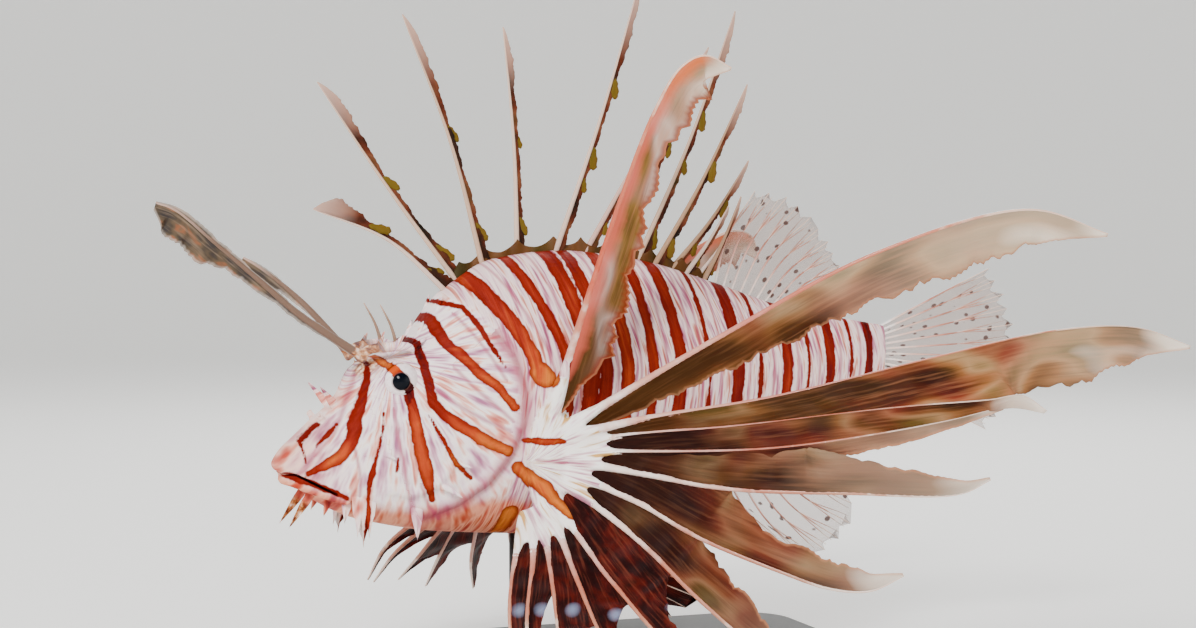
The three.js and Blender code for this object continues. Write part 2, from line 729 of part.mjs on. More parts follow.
function standBase() {
  const [halfL, halfW] = [baseLength / 2, baseWidth / 2];
  const outline = new THREE.Shape();
  outline.moveTo(-halfL + baseCorner, -halfW);
  outline.lineTo(halfL - baseCorner, -halfW);
  outline.absarc(halfL - baseCorner, -halfW + baseCorner, baseCorner, -Math.PI / 2, 0);
  outline.lineTo(halfL, halfW - baseCorner);
  outline.absarc(halfL - baseCorner, halfW - baseCorner, baseCorner, 0, Math.PI / 2);
  outline.lineTo(-halfL + baseCorner, halfW);
  outline.absarc(-halfL + baseCorner, halfW - baseCorner, baseCorner, Math.PI / 2, Math.PI);
  outline.lineTo(-halfL, -halfW + baseCorner);
  outline.absarc(-halfL + baseCorner, -halfW + baseCorner, baseCorner, Math.PI, Math.PI * 1.5);
  const options = { depth: baseThickness, bevelEnabled: false, curveSegments: 6 };
  const plate = solidFromGeometry(new THREE.ExtrudeGeometry(outline, options));
  return plate.translate([0, 0, -swimHeight]);
}

function standRod() {
  const floorLevel = baseThickness + seam - swimHeight;
  const height = along(bellyLine, rodX) + 4 - floorLevel;
  const rod = new THREE.CylinderGeometry(rodRadius, rodRadius, height, 20).rotateX(Math.PI / 2);
  return solidFromGeometry(rod)
    .translate([rodX, 0, floorLevel + height / 2])
    .subtract(clearOfBody);
}

// Materials and assembly

const finish = (color, roughness) => new THREE.MeshStandardMaterial({ color, roughness, metalness: 0 });
const skin = finish("#c98378", 0.5);
const finColour = finish("#a8694f", 0.45);
const spineColour = finish("#cdb3a2", 0.45);
const eyeColour = finish("#11131a", 0.1);
const standColour = finish("#2b2b2d", 0.4);

const fish = new THREE.Group();
fish.position.z = swimHeight;

function place(name, solid, material) {
  const { numProp, vertProperties, triVerts, numVert } = largest(solid).getMesh();
  const positions = new Float32Array(numVert * 3);
  for (let i = 0; i < numVert; i++) {
    positions.set(vertProperties.subarray(i * numProp, i * numProp + 3), i * 3);
  }
  const geometry = new THREE.BufferGeometry();
  geometry.setAttribute("position", new THREE.BufferAttribute(positions, 3));
  geometry.setIndex(new THREE.BufferAttribute(triVerts, 1));
  geometry.computeVertexNormals();
  const mesh = new THREE.Mesh(geometry, material);
  mesh.name = name;
  fish.add(mesh);
}

place("head", headSolid(), skin);
const torso = bodyLength(-64, tailCutX - seam / 2, 7, 26).subtract(clearOfHead);
place("torso", torso, skin);
place("tail_stalk", bodyLength(tailCutX + seam / 2, tailRootX, 6, 18), skin);
place("spiny_dorsal_fin", spinyDorsalFin(), spineColour);
place("soft_dorsal_fin", softDorsalFin(), finColour);
place("anal_fin", analFin(), finColour);
place("tail_fin", tailFin(), finColour);
for (const side of sides) {
  place(`eye_${side.name}`, eyeBall(side.sign, eye.radius), eyeColour);
  place(`brow_tentacle_${side.name}`, tentacle(side), finColour);
  for (const [piece, solid] of Object.entries(pectoralPieces(side))) {
    place(`pectoral_${piece}_${side.name}`, solid, finColour);
  }
  place(`pelvic_fin_${side.name}`, pelvicFin(side), finColour);
}
place("stand_base", standBase(), standColour);
place("stand_rod", standRod(), standColour);

const part = new THREE.Group();
part.add(fish);
export default part;
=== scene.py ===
"""A red lionfish, life size, hovering with its fins spread over a plain display stand.

Sizes are in millimetres until a mesh is made, and in the fish's own frame: the head points along -X,
the left side faces -Y, and the zero level is the middle of the flank, SWIM_HEIGHT above the floor.
"""
import math

import bmesh
import bpy
import numpy as np
from mathutils import Matrix, Vector


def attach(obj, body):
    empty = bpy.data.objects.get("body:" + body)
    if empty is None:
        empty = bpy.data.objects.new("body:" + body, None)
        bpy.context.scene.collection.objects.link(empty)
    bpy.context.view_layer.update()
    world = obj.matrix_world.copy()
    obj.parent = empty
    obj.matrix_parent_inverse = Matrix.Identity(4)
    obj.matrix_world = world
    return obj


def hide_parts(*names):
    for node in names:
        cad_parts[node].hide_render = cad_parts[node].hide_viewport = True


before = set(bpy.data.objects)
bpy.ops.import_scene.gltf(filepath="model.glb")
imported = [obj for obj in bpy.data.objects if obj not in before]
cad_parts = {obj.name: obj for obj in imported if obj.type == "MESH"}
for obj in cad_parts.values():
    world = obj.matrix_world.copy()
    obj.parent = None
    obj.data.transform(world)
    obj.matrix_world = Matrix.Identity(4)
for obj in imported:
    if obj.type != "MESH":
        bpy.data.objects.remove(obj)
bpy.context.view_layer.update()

# Camera, lights and backdrop. The camera is level with the fish, a little above its flank and 20
# degrees round towards its face, close enough that the near fin looks large. The backdrop is a wide
# pale bowl of matt paper, so that its floor runs up into its wall without a line.
SWIM_HEIGHT = 130.0
CAMERA_TURN, CAMERA_RISE = math.radians(-20), math.radians(2)
CAMERA_DISTANCE = 760.0
MM_PER_PIXEL, PICTURE_WIDTH = 0.36, 1196  # at that distance
SENSOR = 36.0
BOWL_FLOOR, BOWL_CURVE, BOWL_WALL = 2400.0, 1500.0, 1500.0


def metres(points):
    """Points in the fish's frame, in millimetres, as metres above the floor."""
    return (np.asarray(points, float) + (0, 0, SWIM_HEIGHT)) / 1000


def aim(thing, place, target):
    place, target = Vector(metres(place)), Vector(metres(target))
    turn = (target - place).to_track_quat("-Z", "Y")
    thing.matrix_world = Matrix.Translation(place) @ turn.to_matrix().to_4x4()


def placed(name, data):
    """A new object in the scene."""
    thing = bpy.data.objects.new(name, data)
    bpy.context.scene.collection.objects.link(thing)
    return thing


def linear(code):
    """A hex sRGB colour as the linear red, green, blue and alpha that a shader takes."""
    parts = [int(code[k:k + 2], 16) / 255 for k in (1, 3, 5)]
    return (*(c / 12.92 if c <= 0.04045 else ((c + 0.055) / 1.055) ** 2.4 for c in parts), 1.0)


def fill(tree, made, inputs):
    """Gives a node's inputs numbers, hex colours, other nodes' outputs, or a piece's marks by name."""
    for key, value in inputs.items():
        socket = made.inputs[key]
        if isinstance(value, str) and value[0] == "#":
            value = linear(value)
        elif isinstance(value, str) and socket.type != "STRING":
            mark = tree.nodes.get(value) or tree.nodes.new("ShaderNodeAttribute")
            mark.name = mark.attribute_name = value
            value = mark.outputs["Fac"]
        if isinstance(value, bpy.types.NodeSocket):
            tree.links.new(value, socket)
        else:
            socket.default_value = value


def new_finish(name):
    """A material, its node tree and its shader."""
    made = bpy.data.materials.new(name)
    made.use_nodes = True
    return made, made.node_tree, made.node_tree.nodes["Principled BSDF"]


lens_data = bpy.data.cameras.new("camera")
lens_data.sensor_width = SENSOR
lens_data.lens = SENSOR * CAMERA_DISTANCE / (PICTURE_WIDTH * MM_PER_PIXEL)
camera = placed("camera", lens_data)
away = np.array((
    math.sin(CAMERA_TURN) * math.cos(CAMERA_RISE),
    -math.cos(CAMERA_TURN) * math.cos(CAMERA_RISE),
    math.sin(CAMERA_RISE),
))
aim(camera, CAMERA_DISTANCE * away, (0, 0, 0))
bpy.context.scene.camera = camera

for name, place, size, watts in (
    ("key", (-750, -900, 850), 450, 24),
    ("fill", (900, -1000, 300), 900, 3),
    ("rim", (500, 900, 900), 700, 12),
):
    lamp_data = bpy.data.lights.new(name, "AREA")
    lamp_data.shape, lamp_data.size, lamp_data.energy = "DISK", size / 1000, watts
    aim(placed(name, lamp_data), place, (0, 0, -20))

world = bpy.data.worlds.new("studio")
world.use_nodes = True
fill(world.node_tree, world.node_tree.nodes["Background"], {"Color": "#eef1f5", "Strength": 0.5})
bpy.context.scene.world = world

turns = np.radians(np.arange(0, 91, 9))
outline = [(0.001, 0.0), (800.0, 0.0), (BOWL_FLOOR, 0.0)]
outline += [(BOWL_FLOOR + BOWL_CURVE * math.sin(t), BOWL_CURVE * (1 - math.cos(t))) for t in turns[1:]]
outline += [(BOWL_FLOOR + BOWL_CURVE, BOWL_CURVE + BOWL_WALL)]
bowl_mesh = bpy.data.meshes.new("backdrop")
around = np.radians(np.arange(0, 360, 5))
bowl_points = [
    (r * math.cos(a) / 1000, r * math.sin(a) / 1000, h / 1000) for r, h in outline for a in around
]
count = len(around)
bowl_mesh.from_pydata(bowl_points, [], [
    (k * count + i, k * count + (i + 1) % count, (k + 1) * count + (i + 1) % count, (k + 1) * count + i)
    for k in range(len(outline) - 1) for i in range(count)
])
bowl_mesh.shade_smooth()
bowl = placed("backdrop", bowl_mesh)
paper, tree, shader = new_finish("matt backdrop paper")
fill(tree, shader, {
    "Base Color": "#f6f5f2", "Roughness": 0.9, "Emission Color": "#f6f5f2", "Emission Strength": 0.3,
})
bowl_mesh.materials.append(paper)

# Skin: one unbroken hide over head, trunk and tail root, in flesh under small scales. It is a loft of
# rounded sections with the lips, brows, lids and fin roots laid on, melted into one surface, and
# then carved for the gill cover, the cheek's bones, the mouth, the nostrils and the eye sockets.
SIDES = {"left": -1, "right": 1}
SNOUT_X, TAIL_ROOT_X = -118.4, 115.0
BACK = [
    (-118.4, -49), (-116, -45.4), (-111, -40.6), (-104, -34.2), (-98, -29.2), (-94.5, -24.5),
    (-91, -17.5), (-85, -14.2), (-76, -11.4), (-70.5, -7.6), (-65, 1.2), (-56, 11), (-40, 20),
    (-15, 23), (15, 19.6), (45, 11.2), (70, 3), (92, -1.6), (115, -5.4),
]
BELLY = [
    (-118.4, -51.4), (-116, -53.4), (-112.4, -56.2), (-108, -60), (-103.8, -63.2), (-96.7, -67),
    (-89.5, -69.8), (-60, -75.4), (-15, -78), (20, -73.6), (50, -62.4), (80, -46.8), (101, -33.6),
    (115, -25.4),
]
HALF_WIDTH = [
    (-118.4, 3.4), (-116, 7.2), (-111, 10.6), (-104, 13.6), (-92, 17.6), (-70, 22.4), (-40, 27),
    (-15, 28), (20, 24.2), (55, 16.6), (85, 9.6), (103, 5.6), (115, 2.6),
]
WIDEST_SHARE = [(-118.4, 0.5), (-90, 0.4), (-60, 0.45), (0, 0.5), (115, 0.5)]
UPPER_FULLNESS = [
    (-118.4, 2), (-96, 2.2), (-86, 2.8), (-72, 2.5), (-50, 2), (0, 1.8), (70, 1.75), (115, 2),
]
LOWER_FULLNESS = [(-118.4, 2), (-90, 2.3), (0, 2.1), (115, 2)]
EYE, EYE_RADIUS = (-77.0, 13.4, -21.6), 6.8
MOUTH_FRONT, MOUTH_CORNER = (-114.0, -53.2), (-95.0, -60.6)
FIN_ROOT, FIN_ROOT_HALF = (-27.0, 27.0, -51.0), (8.5, 6.5, 21.0)
SKIN_GRAIN = 0.85  # side of the squares that the skin is melted into
GILL_EDGE = [
    (-47, -4), (-40, -13), (-36.4, -25), (-37, -36), (-41, -46.4), (-48.4, -56.7), (-58, -64), (-72, -70),
]
CHEEK_RIDGES = [
    [(-97, -40), (-90, -37), (-80, -36), (-70, -39), (-62, -44)],
    [(-84, -58), (-74, -60), (-66, -57), (-61, -50), (-59.5, -42)],
]


# The pectoral fins' thirteen rays, from the top down, on the left fin with y outwards. The skin needs
# their first stretch. widths, side and join are for the membrane; fold is the right fin's turn back.
PECTORAL_RAYS = [
    {"route": [(-27, 29, -32), (-19.6, 34, -4), (-8.8, 43, 36.5), (1.5, 52, 70), (9.5, 56, 84.6),
               (17.1, 58, 88.4), (26, 60, 84.4)],
     "widths": [(0, 3), (0.2, 13), (0.45, 11), (0.65, 8.8), (0.84, 13.5), (0.93, 11), (1, 1)],
     "side": 1, "fold": 42},
    {"route": [(-25, 29, -39.5), (21, 62, -6), (66.4, 90, 22.7), (112.2, 108, 36.5), (138.3, 114, 28.6)],
     "widths": [(0, 4), (0.15, 8), (0.3, 11), (0.5, 14), (0.72, 15.5), (0.88, 11), (1, 1)],
     "side": 1, "fold": 16},
    {"route": [(-23.5, 29, -41.6), (-6.2, 56, -33.6), (29.3, 88, -24.6), (75.6, 112, -11.3),
               (113, 123, -2.8), (140, 128, -2), (158.9, 131, -8.1)],
     "widths": [(0, 4), (0.6, 15), (0.8, 17.5), (0.9, 12), (1, 1)],
     "side": 1, "fold": 8, "join": (3, 0.66, 0.93)},
    {"route": [(-23, 29, -43.6), (-4.6, 54, -38.5), (18.2, 80, -34.6), (62.3, 111, -27.2),
               (90, 121, -24.7), (100, 124, -23.4), (108, 126, -28.4)],
     "widths": [(0, 4), (0.86, 5), (0.94, 4), (1, 1)],
     "side": 1, "fold": 6, "join": (4, 0.84, 0.97)},
    {"route": [(-22.6, 29, -45.8), (-4.6, 54, -44.6), (26.3, 90, -41.2), (51.6, 108, -36.4),
               (77, 117, -31.4), (94.7, 121, -27.1)],
     "widths": [(0, 3), (0.3, 6), (0.7, 5), (1, 1)],
     "side": 1, "fold": 4},
    {"route": [(-22.8, 29, -48.8), (-6.2, 57, -51.2), (14.3, 84, -54.3), (46.6, 107, -54.6),
               (79.8, 120, -54.7), (88.7, 124, -50.1)],
     "widths": [(0, 4), (0.6, 13), (0.75, 10), (0.9, 6), (1, 1)],
     "side": -1, "fold": 6, "join": (4, 0.6, 0.58)},
    {"route": [(-23, 29, -52.2), (-6.9, 60, -61), (5.8, 81, -70.4), (25.5, 101, -79.6),
               (38, 111, -84.2), (48.8, 118, -84.5), (57.6, 124, -79.3)],
     "widths": [(0, 4), (0.5, 14), (0.65, 10), (0.8, 9), (0.92, 6), (1, 1)],
     "side": -1, "fold": 8, "join": (5, 0.45, 0.45)},
    {"route": [(-23.6, 29, -55.4), (-9.3, 66, -72.8), (2.4, 92, -89.8), (14.3, 110, -102.5),
               (24.4, 121, -108)],
     "widths": [(0, 4), (0.55, 13), (0.8, 9.5), (1, 1)],
     "side": -1, "fold": 10, "join": (6, 0.5, 0.466)},
    {"route": [(-25.6, 28.6, -63.2), (-22.2, 62, -80.6), (-17.7, 78, -90.6), (-11.9, 94, -101.1),
               (-4, 109, -112)],
     "widths": [(0, 3), (0.6, 8), (0.8, 6), (1, 1)],
     "side": -1, "fold": 12, "join": (7, 0.58, 0.52)},
    {"route": [(-28, 28.4, -65), (-30.6, 62, -83.1), (-29.5, 80, -97.5), (-27, 98, -112.5)],
     "widths": [(0, 3), (0.6, 7), (0.8, 5), (1, 1)],
     "side": -1, "fold": 13, "join": (8, 0.62, 0.6)},
    {"route": [(-31, 28, -66.4), (-36.9, 56, -82.7), (-40, 72, -98.4), (-42.3, 84, -110)],
     "widths": [(0, 3), (0.6, 6), (0.8, 5), (1, 1)],
     "side": -1, "fold": 14, "join": (9, 0.74, 0.72)},
    {"route": [(-33.6, 27.4, -67), (-41.2, 50, -80.7), (-48.5, 66, -98.9), (-50, 77, -113)],
     "widths": [(0, 3), (0.6, 5), (0.8, 4), (1, 1)],
     "side": -1, "fold": 19, "join": (10, 0.6, 0.58)},
    {"route": [(-35.8, 27, -67.6), (-46.8, 47, -82.4), (-52.4, 60, -98.7), (-51.5, 68, -113)],
     "widths": [(0, 3), (0.6, 4), (0.8, 4), (1, 1)],
     "side": -1, "fold": 24, "join": (11, 0.6, 0.58)},
]
UPPER_RAYS = 8
CUFF_LENGTH = 26.0
RAY_GIRTH = [(0, 2.0), (0.15, 1.45), (0.4, 1.0), (0.8, 0.6), (1, 0.25)]


def folded(ray, sign):
    turn = math.radians(ray["fold"]) if sign > 0 else 0
    root_x, _, root_z = ray["route"][0]
    return [
        (root_x + (x - root_x) * math.cos(turn) + (z - root_z) * math.sin(turn), sign * y,
         root_z - (x - root_x) * math.sin(turn) + (z - root_z) * math.cos(turn))
        for x, y, z in ray["route"]
    ]


def along(pairs, at):
    """The values at these places of a smooth line through (place, value) pairs; it never overshoots."""
    xs, ys = np.array(pairs, float).T
    rise = np.diff(ys) / np.diff(xs)
    both = rise[:-1] * rise[1:]
    inner = np.where(both > 0, 2 * both / np.where(both > 0, rise[:-1] + rise[1:], 1), 0)
    slope = np.concatenate([rise[:1], inner, rise[-1:]])
    at = np.clip(at, xs[0], xs[-1])
    i = np.clip(np.searchsorted(xs, at, "right") - 1, 0, len(xs) - 2)
    span = xs[i + 1] - xs[i]
    t = (at - xs[i]) / span
    rest = 1 - t
    return (ys[i] * (1 + 2 * t) * rest**2 + ys[i + 1] * t**2 * (3 - 2 * t)
            + span * t * rest * (slope[i] * rest - slope[i + 1] * t))


def smoothstep(low, high, value):
    t = np.clip((np.asarray(value, float) - low) / (high - low), 0, 1)
    return t * t * (3 - 2 * t)


def curve_through(points):
    """A smooth curve through points, as a function from shares of its length to places on it."""
    points = np.asarray(points, float)
    run = np.vstack([2 * points[0] - points[1], points, 2 * points[-1] - points[-2]])
    pieces = []
    t = np.linspace(0, 1, 40, endpoint=False)[:, None]
    for p0, p1, p2, p3 in zip(run, run[1:], run[2:], run[3:]):
        a, b, c = (np.linalg.norm(q - p) ** 0.5 for p, q in ((p0, p1), (p1, p2), (p2, p3)))
        leave = ((p1 - p0) / a - (p2 - p0) / (a + b) + (p2 - p1) / b) * b
        reach = ((p2 - p1) / b - (p3 - p1) / (b + c) + (p3 - p2) / c) * b
        pieces.append((2 * t**3 - 3 * t**2 + 1) * p1 + (t**3 - 2 * t**2 + t) * leave
                      + (3 * t**2 - 2 * t**3) * p2 + (t**3 - t**2) * reach)
    dense = np.vstack([*pieces, points[-1:]])
    gone = np.concatenate([[0], np.cumsum(np.linalg.norm(np.diff(dense, axis=0), axis=1))])

    def place(shares):
        at = np.clip(shares, 0, 1) * gone[-1]
        return np.stack([np.interp(at, gone, dense[:, k]) for k in range(3)], -1)

    place.length = gone[-1]
    return place


def unit(vectors):
    return vectors / np.maximum(np.linalg.norm(vectors, axis=-1, keepdims=True), 1e-9)


def headings(places):
    return unit(np.gradient(places, axis=0))


def loft(rings, **marks):
    """Rings of points joined into a closed shell: its points, faces and named values per point."""
    rows, columns = rings.shape[:2]
    index = np.arange(rows * columns).reshape(rows, columns)
    after = np.roll(index, -1, axis=1)
    quads = np.stack([index[:-1], after[:-1], after[1:], index[1:]], -1).reshape(-1, 4)
    faces = quads.tolist() + [index[0][::-1].tolist(), index[-1].tolist()]
    values = {key: np.broadcast_to(value, (rows, columns)).ravel() for key, value in marks.items()}
    return rings.reshape(-1, 3), faces, values


def limb(points, width, depth, face, rows=24, around=14):
    """A rounded limb along a route; width and depth are its half sizes for a share of the way."""
    s = np.linspace(0, 1, rows)
    at = curve_through(points)(s)
    ahead = headings(at)
    side = unit(np.cross(face, ahead))
    out = np.cross(ahead, side)
    turn = 2 * math.pi * (np.arange(around) + 0.5) / around
    across = np.cos(turn)[None, :, None] * (width(s)[:, None] * side)[:, None, :]
    through = np.sin(turn)[None, :, None] * (depth(s)[:, None] * out)[:, None, :]
    return loft(at[:, None, :] + across + through, share=s[:, None])


def on_side(point, sign):
    """A point given for the right side, on the side of this sign."""
    return np.array(point) * (1, sign, 1)


def make_piece(name, shells, material=None):
    """One object from closed shells, its place in its mesh, its faces outwards."""
    start, places, faces = 0, [], []
    names = sorted({key for shell in shells for key in shell[2]})
    for points, shell_faces, _ in shells:
        places.append(points)
        faces += [[k + start for k in face] for face in shell_faces]
        start += len(points)
    mesh = bpy.data.meshes.new(name)
    mesh.from_pydata(metres(np.vstack(places)).tolist(), [], faces)
    for key in names:
        values = np.concatenate([
            np.asarray(shell[2].get(key, np.zeros(len(shell[0]))), float) for shell in shells
        ])
        mesh.attributes.new(key, "FLOAT", "POINT").data.foreach_set("value", values)
    shell_mesh = bmesh.new()
    shell_mesh.from_mesh(mesh)
    bmesh.ops.recalc_face_normals(shell_mesh, faces=shell_mesh.faces)
    shell_mesh.to_mesh(mesh)
    shell_mesh.free()
    mesh.shade_smooth()
    if material:
        mesh.materials.append(material)
    return placed(name, mesh)


def settle(piece):
    """The piece with its modifiers' result as its own plain mesh."""
    graph = bpy.context.evaluated_depsgraph_get()
    result = bpy.data.meshes.new_from_object(piece.evaluated_get(graph), depsgraph=graph)
    piece.modifiers.clear()
    piece.data = result
    return piece


def mesh_points(mesh):
    flat = np.empty(len(mesh.vertices) * 3)
    mesh.vertices.foreach_get("co", flat)
    return flat.reshape(-1, 3) * 1000 - (0, 0, SWIM_HEIGHT)


def section(x, around):
    """The body's outline at these x, as rings of points."""
    top, bottom = along(BACK, x)[:, None], along(BELLY, x)[:, None]
    level = bottom + along(WIDEST_SHARE, x)[:, None] * (top - bottom)
    turn = 2 * math.pi * np.arange(around) / around
    upper = np.cos(turn)[None, :] > 0
    power = 2 / np.where(upper, along(UPPER_FULLNESS, x)[:, None], along(LOWER_FULLNESS, x)[:, None])
    out = np.sign(np.sin(turn)) * np.abs(np.sin(turn)) ** power
    rise = np.abs(np.cos(turn)) ** power
    z = level + rise * (np.where(upper, top, bottom) - level)
    y = -along(HALF_WIDTH, x)[:, None] * out
    return np.stack([np.broadcast_to(x[:, None], y.shape), y, z], -1)


def ball(centre, radii, rows=20, around=28):
    """A ball with its poles along Y."""
    latitude = np.linspace(-math.pi / 2 + 0.02, math.pi / 2 - 0.02, rows)[:, None]
    turn = (2 * math.pi * np.arange(around) / around)[None, :]
    shape = np.stack([
        np.cos(latitude) * np.cos(turn), np.sin(latitude) + 0 * turn, np.cos(latitude) * np.sin(turn),
    ], -1)
    return loft(np.array(centre) + shape * np.array(radii))


def ring(centre, radius, thick):
    """A closed ring round the Y axis, as a limb whose ends meet."""
    turn = np.linspace(0, 2 * math.pi, 49)
    points = np.array(centre) + np.stack([radius * np.cos(turn), 0 * turn, radius * np.sin(turn)], -1)
    flat = lambda s: np.full_like(s, thick)
    return limb(points, flat, flat, (0, 1, 0), rows=49, around=10)


def steady(size):
    return lambda s: np.full_like(s, float(size))


x_stations = np.concatenate([np.arange(SNOUT_X, -60, 1.2), np.arange(-60, TAIL_ROOT_X + 0.1, 2.0)])
x_stations[-1] = TAIL_ROOT_X
flesh = [loft(section(x_stations, 96))]

# Each lip runs from one corner of the mouth round the front to the other.
lip_stations = [(-95, 15.6, -60.6), (-101.5, 13, -58.2), (-107.5, 10, -55.8), (-112, 5.6, -53.9)]
for lift, girth in ((1.6, 1.8), (-1.9, 2.0)):
    half = [(x, -y, z + lift) for x, y, z in lip_stations]
    route = half + [(MOUTH_FRONT[0] - 0.6, 0, MOUTH_FRONT[1] + lift)]
    route += [(x, -y, z) for x, y, z in half[::-1]]
    taper = lambda s, girth=girth: girth * (0.55 + 0.45 * np.sin(math.pi * s) ** 0.5)
    flesh.append(limb(route, taper, taper, (0, 0, 1), rows=48))

STUB = (-89.4, 9.2, -13.0)  # of the brow tentacle
NOSTRIL = (-102.6, 7.6, -35.2)
TENTACLE_ROUTES = {
    "left": [(-111.3, -13, 1.4), (-127.4, -18, 14.4), (-141.3, -22, 25.6), (-154.8, -26, 36.3),
             (-161, -27, 38.5)],
    "right": [(-105.8, 13, 5.7), (-118.3, 17, 16.5), (-124.5, 19, 20.5)],
}
for side, sign in SIDES.items():
    brow = [(-91, 8.6, -15), (-88, 9.6, -11.2), (-81, 12, -10), (-74, 13.4, -10), (-69.5, 13, -12.5)]
    swell = lambda s: 0.7 + 1.2 * np.sin(math.pi * s) ** 0.7
    flesh.append(limb([(x, sign * y, z) for x, y, z in brow], swell, swell, (0, 0, 1)))
    flesh.append(ring(on_side(EYE, sign) + (0, 2.9 * sign, 0), EYE_RADIUS + 0.3, 0.95))
    root = on_side(STUB, sign)
    lean = unit(np.array(TENTACLE_ROUTES[side][0]) - root)
    stem = lambda s: 2.6 - 1.1 * s**0.6
    flesh.append(limb([root - 2 * lean, root + 5 * lean], stem, stem, (0, 1, 0)))
    flesh.append(ball(on_side(FIN_ROOT, sign), FIN_ROOT_HALF))
    for ray in PECTORAL_RAYS:  # white flesh runs a little way out along each ray of the fin
        points = curve_through(folded(ray, sign))
        reach = CUFF_LENGTH / points.length
        cuff = lambda s: 2.9 - 1.7 * smoothstep(0.1, 1, s)
        flesh.append(limb(points(np.linspace(0, reach, 8)), cuff, cuff, (0, 1, 0), 20, 12))
    nose = on_side(NOSTRIL, sign)
    flesh.append(limb([nose, nose + (-1.4, sign * 1.6, 2.4)], steady(1.3), steady(1.3), (0, 1, 0), 6))

skin = make_piece("skin", flesh)
melt = skin.modifiers.new("melt", "REMESH")
melt.mode, melt.voxel_size = "VOXEL", SKIN_GRAIN / 1000
ease = skin.modifiers.new("ease", "SMOOTH")
ease.factor, ease.iterations = 0.5, 4
settle(skin)


def beside(points, line):
    """Each point's distance from a line in the flank's plane, its side of it and share along it."""
    line = np.asarray(line, float)
    steps = np.linalg.norm(np.diff(line, axis=0), axis=1)
    gone = np.concatenate([[0], np.cumsum(steps)])
    best = np.full(len(points), np.inf)
    hand, share = np.zeros(len(points)), np.zeros(len(points))
    for k, (a, b) in enumerate(zip(line, line[1:])):
        t = np.clip((points - a) @ (b - a) / steps[k] ** 2, 0, 1)
        off = points - (a + t[:, None] * (b - a))
        far = np.linalg.norm(off, axis=1)
        near = far < best
        best[near] = far[near]
        turn = (b - a)[0] * off[:, 1] - (b - a)[1] * off[:, 0]
        hand[near] = np.sign(turn[near])
        share[near] = ((gone[k] + t * steps[k]) / gone[-1])[near]
    return best, hand, share


# Carving: the gill cover's rear edge and the cheek's ridges are raised, and a groove is pressed in
# beside each, along the surface's own outward direction.
places = mesh_points(skin.data)
normals = np.empty(len(places) * 3)
skin.data.vertices.foreach_get("normal", normals)
normals = normals.reshape(-1, 3)
flank = places[:, [0, 2]]
lift = np.zeros(len(places))
off, hand, share = beside(flank, GILL_EDGE)
behind = off * hand  # the edge is drawn from the top down, so that behind it is positive
strength = np.sin(math.pi * np.clip(share * 0.9 + 0.08, 0, 1)) ** 0.5
strength = strength * smoothstep(6, 14, np.abs(places[:, 1]))
lift += strength * (1.5 * np.exp(-((behind + 1.4) / 2.0) ** 2) - 1.1 * np.exp(-((behind - 1.5) / 0.9) ** 2))
for ridge in CHEEK_RIDGES:
    off, _, share = beside(flank, ridge)
    fade = np.sin(math.pi * np.clip(share, 0.02, 0.98)) ** 0.5 * smoothstep(6, 13, np.abs(places[:, 1]))
    lift += fade * (0.6 * np.exp(-(off / 1.5) ** 2) - 0.35 * np.exp(-((off - 2.8) / 1.3) ** 2))
places += normals * lift[:, None]
skin.data.vertices.foreach_set("co", metres(places).ravel())

# The mouth slit, eye sockets and nostrils are cut out.
slit_points = [(MOUTH_FRONT[0] - 8, MOUTH_FRONT[1] - 0.6), (MOUTH_FRONT[0] + 2, MOUTH_FRONT[1] + 0.2),
               (MOUTH_CORNER[0] - 9, MOUTH_CORNER[1] + 3.4), (MOUTH_CORNER[0] - 4, MOUTH_CORNER[1] + 0.9)]
slit = np.array([
    [(x, y, z + up + 0.5) for x, z in slit_points] + [(x, y, z + up - 0.5) for x, z in slit_points[::-1]]
    for y, up in ((-20, 0), (-4, 0), (0, 1.5), (4, 0), (20, 0))
], float)
cuts = [loft(slit)]
for sign in SIDES.values():
    cuts.append(ball(on_side(EYE, sign), (EYE_RADIUS + 0.12,) * 3, 30, 40))
    nose = on_side(NOSTRIL, sign)
    bore = [nose + (0, 0, -0.5), nose + (-2.4, sign * 2.6, 4)]
    cuts.append(limb(bore, steady(0.6), steady(0.6), (0, 1, 0), 6, 10))
cutter = make_piece("cutter", cuts)
carve = skin.modifiers.new("carve", "BOOLEAN")
carve.operation, carve.solver, carve.object = "DIFFERENCE", "EXACT", cutter
settle(skin)
bpy.data.objects.remove(cutter)
skin.data.shade_smooth()

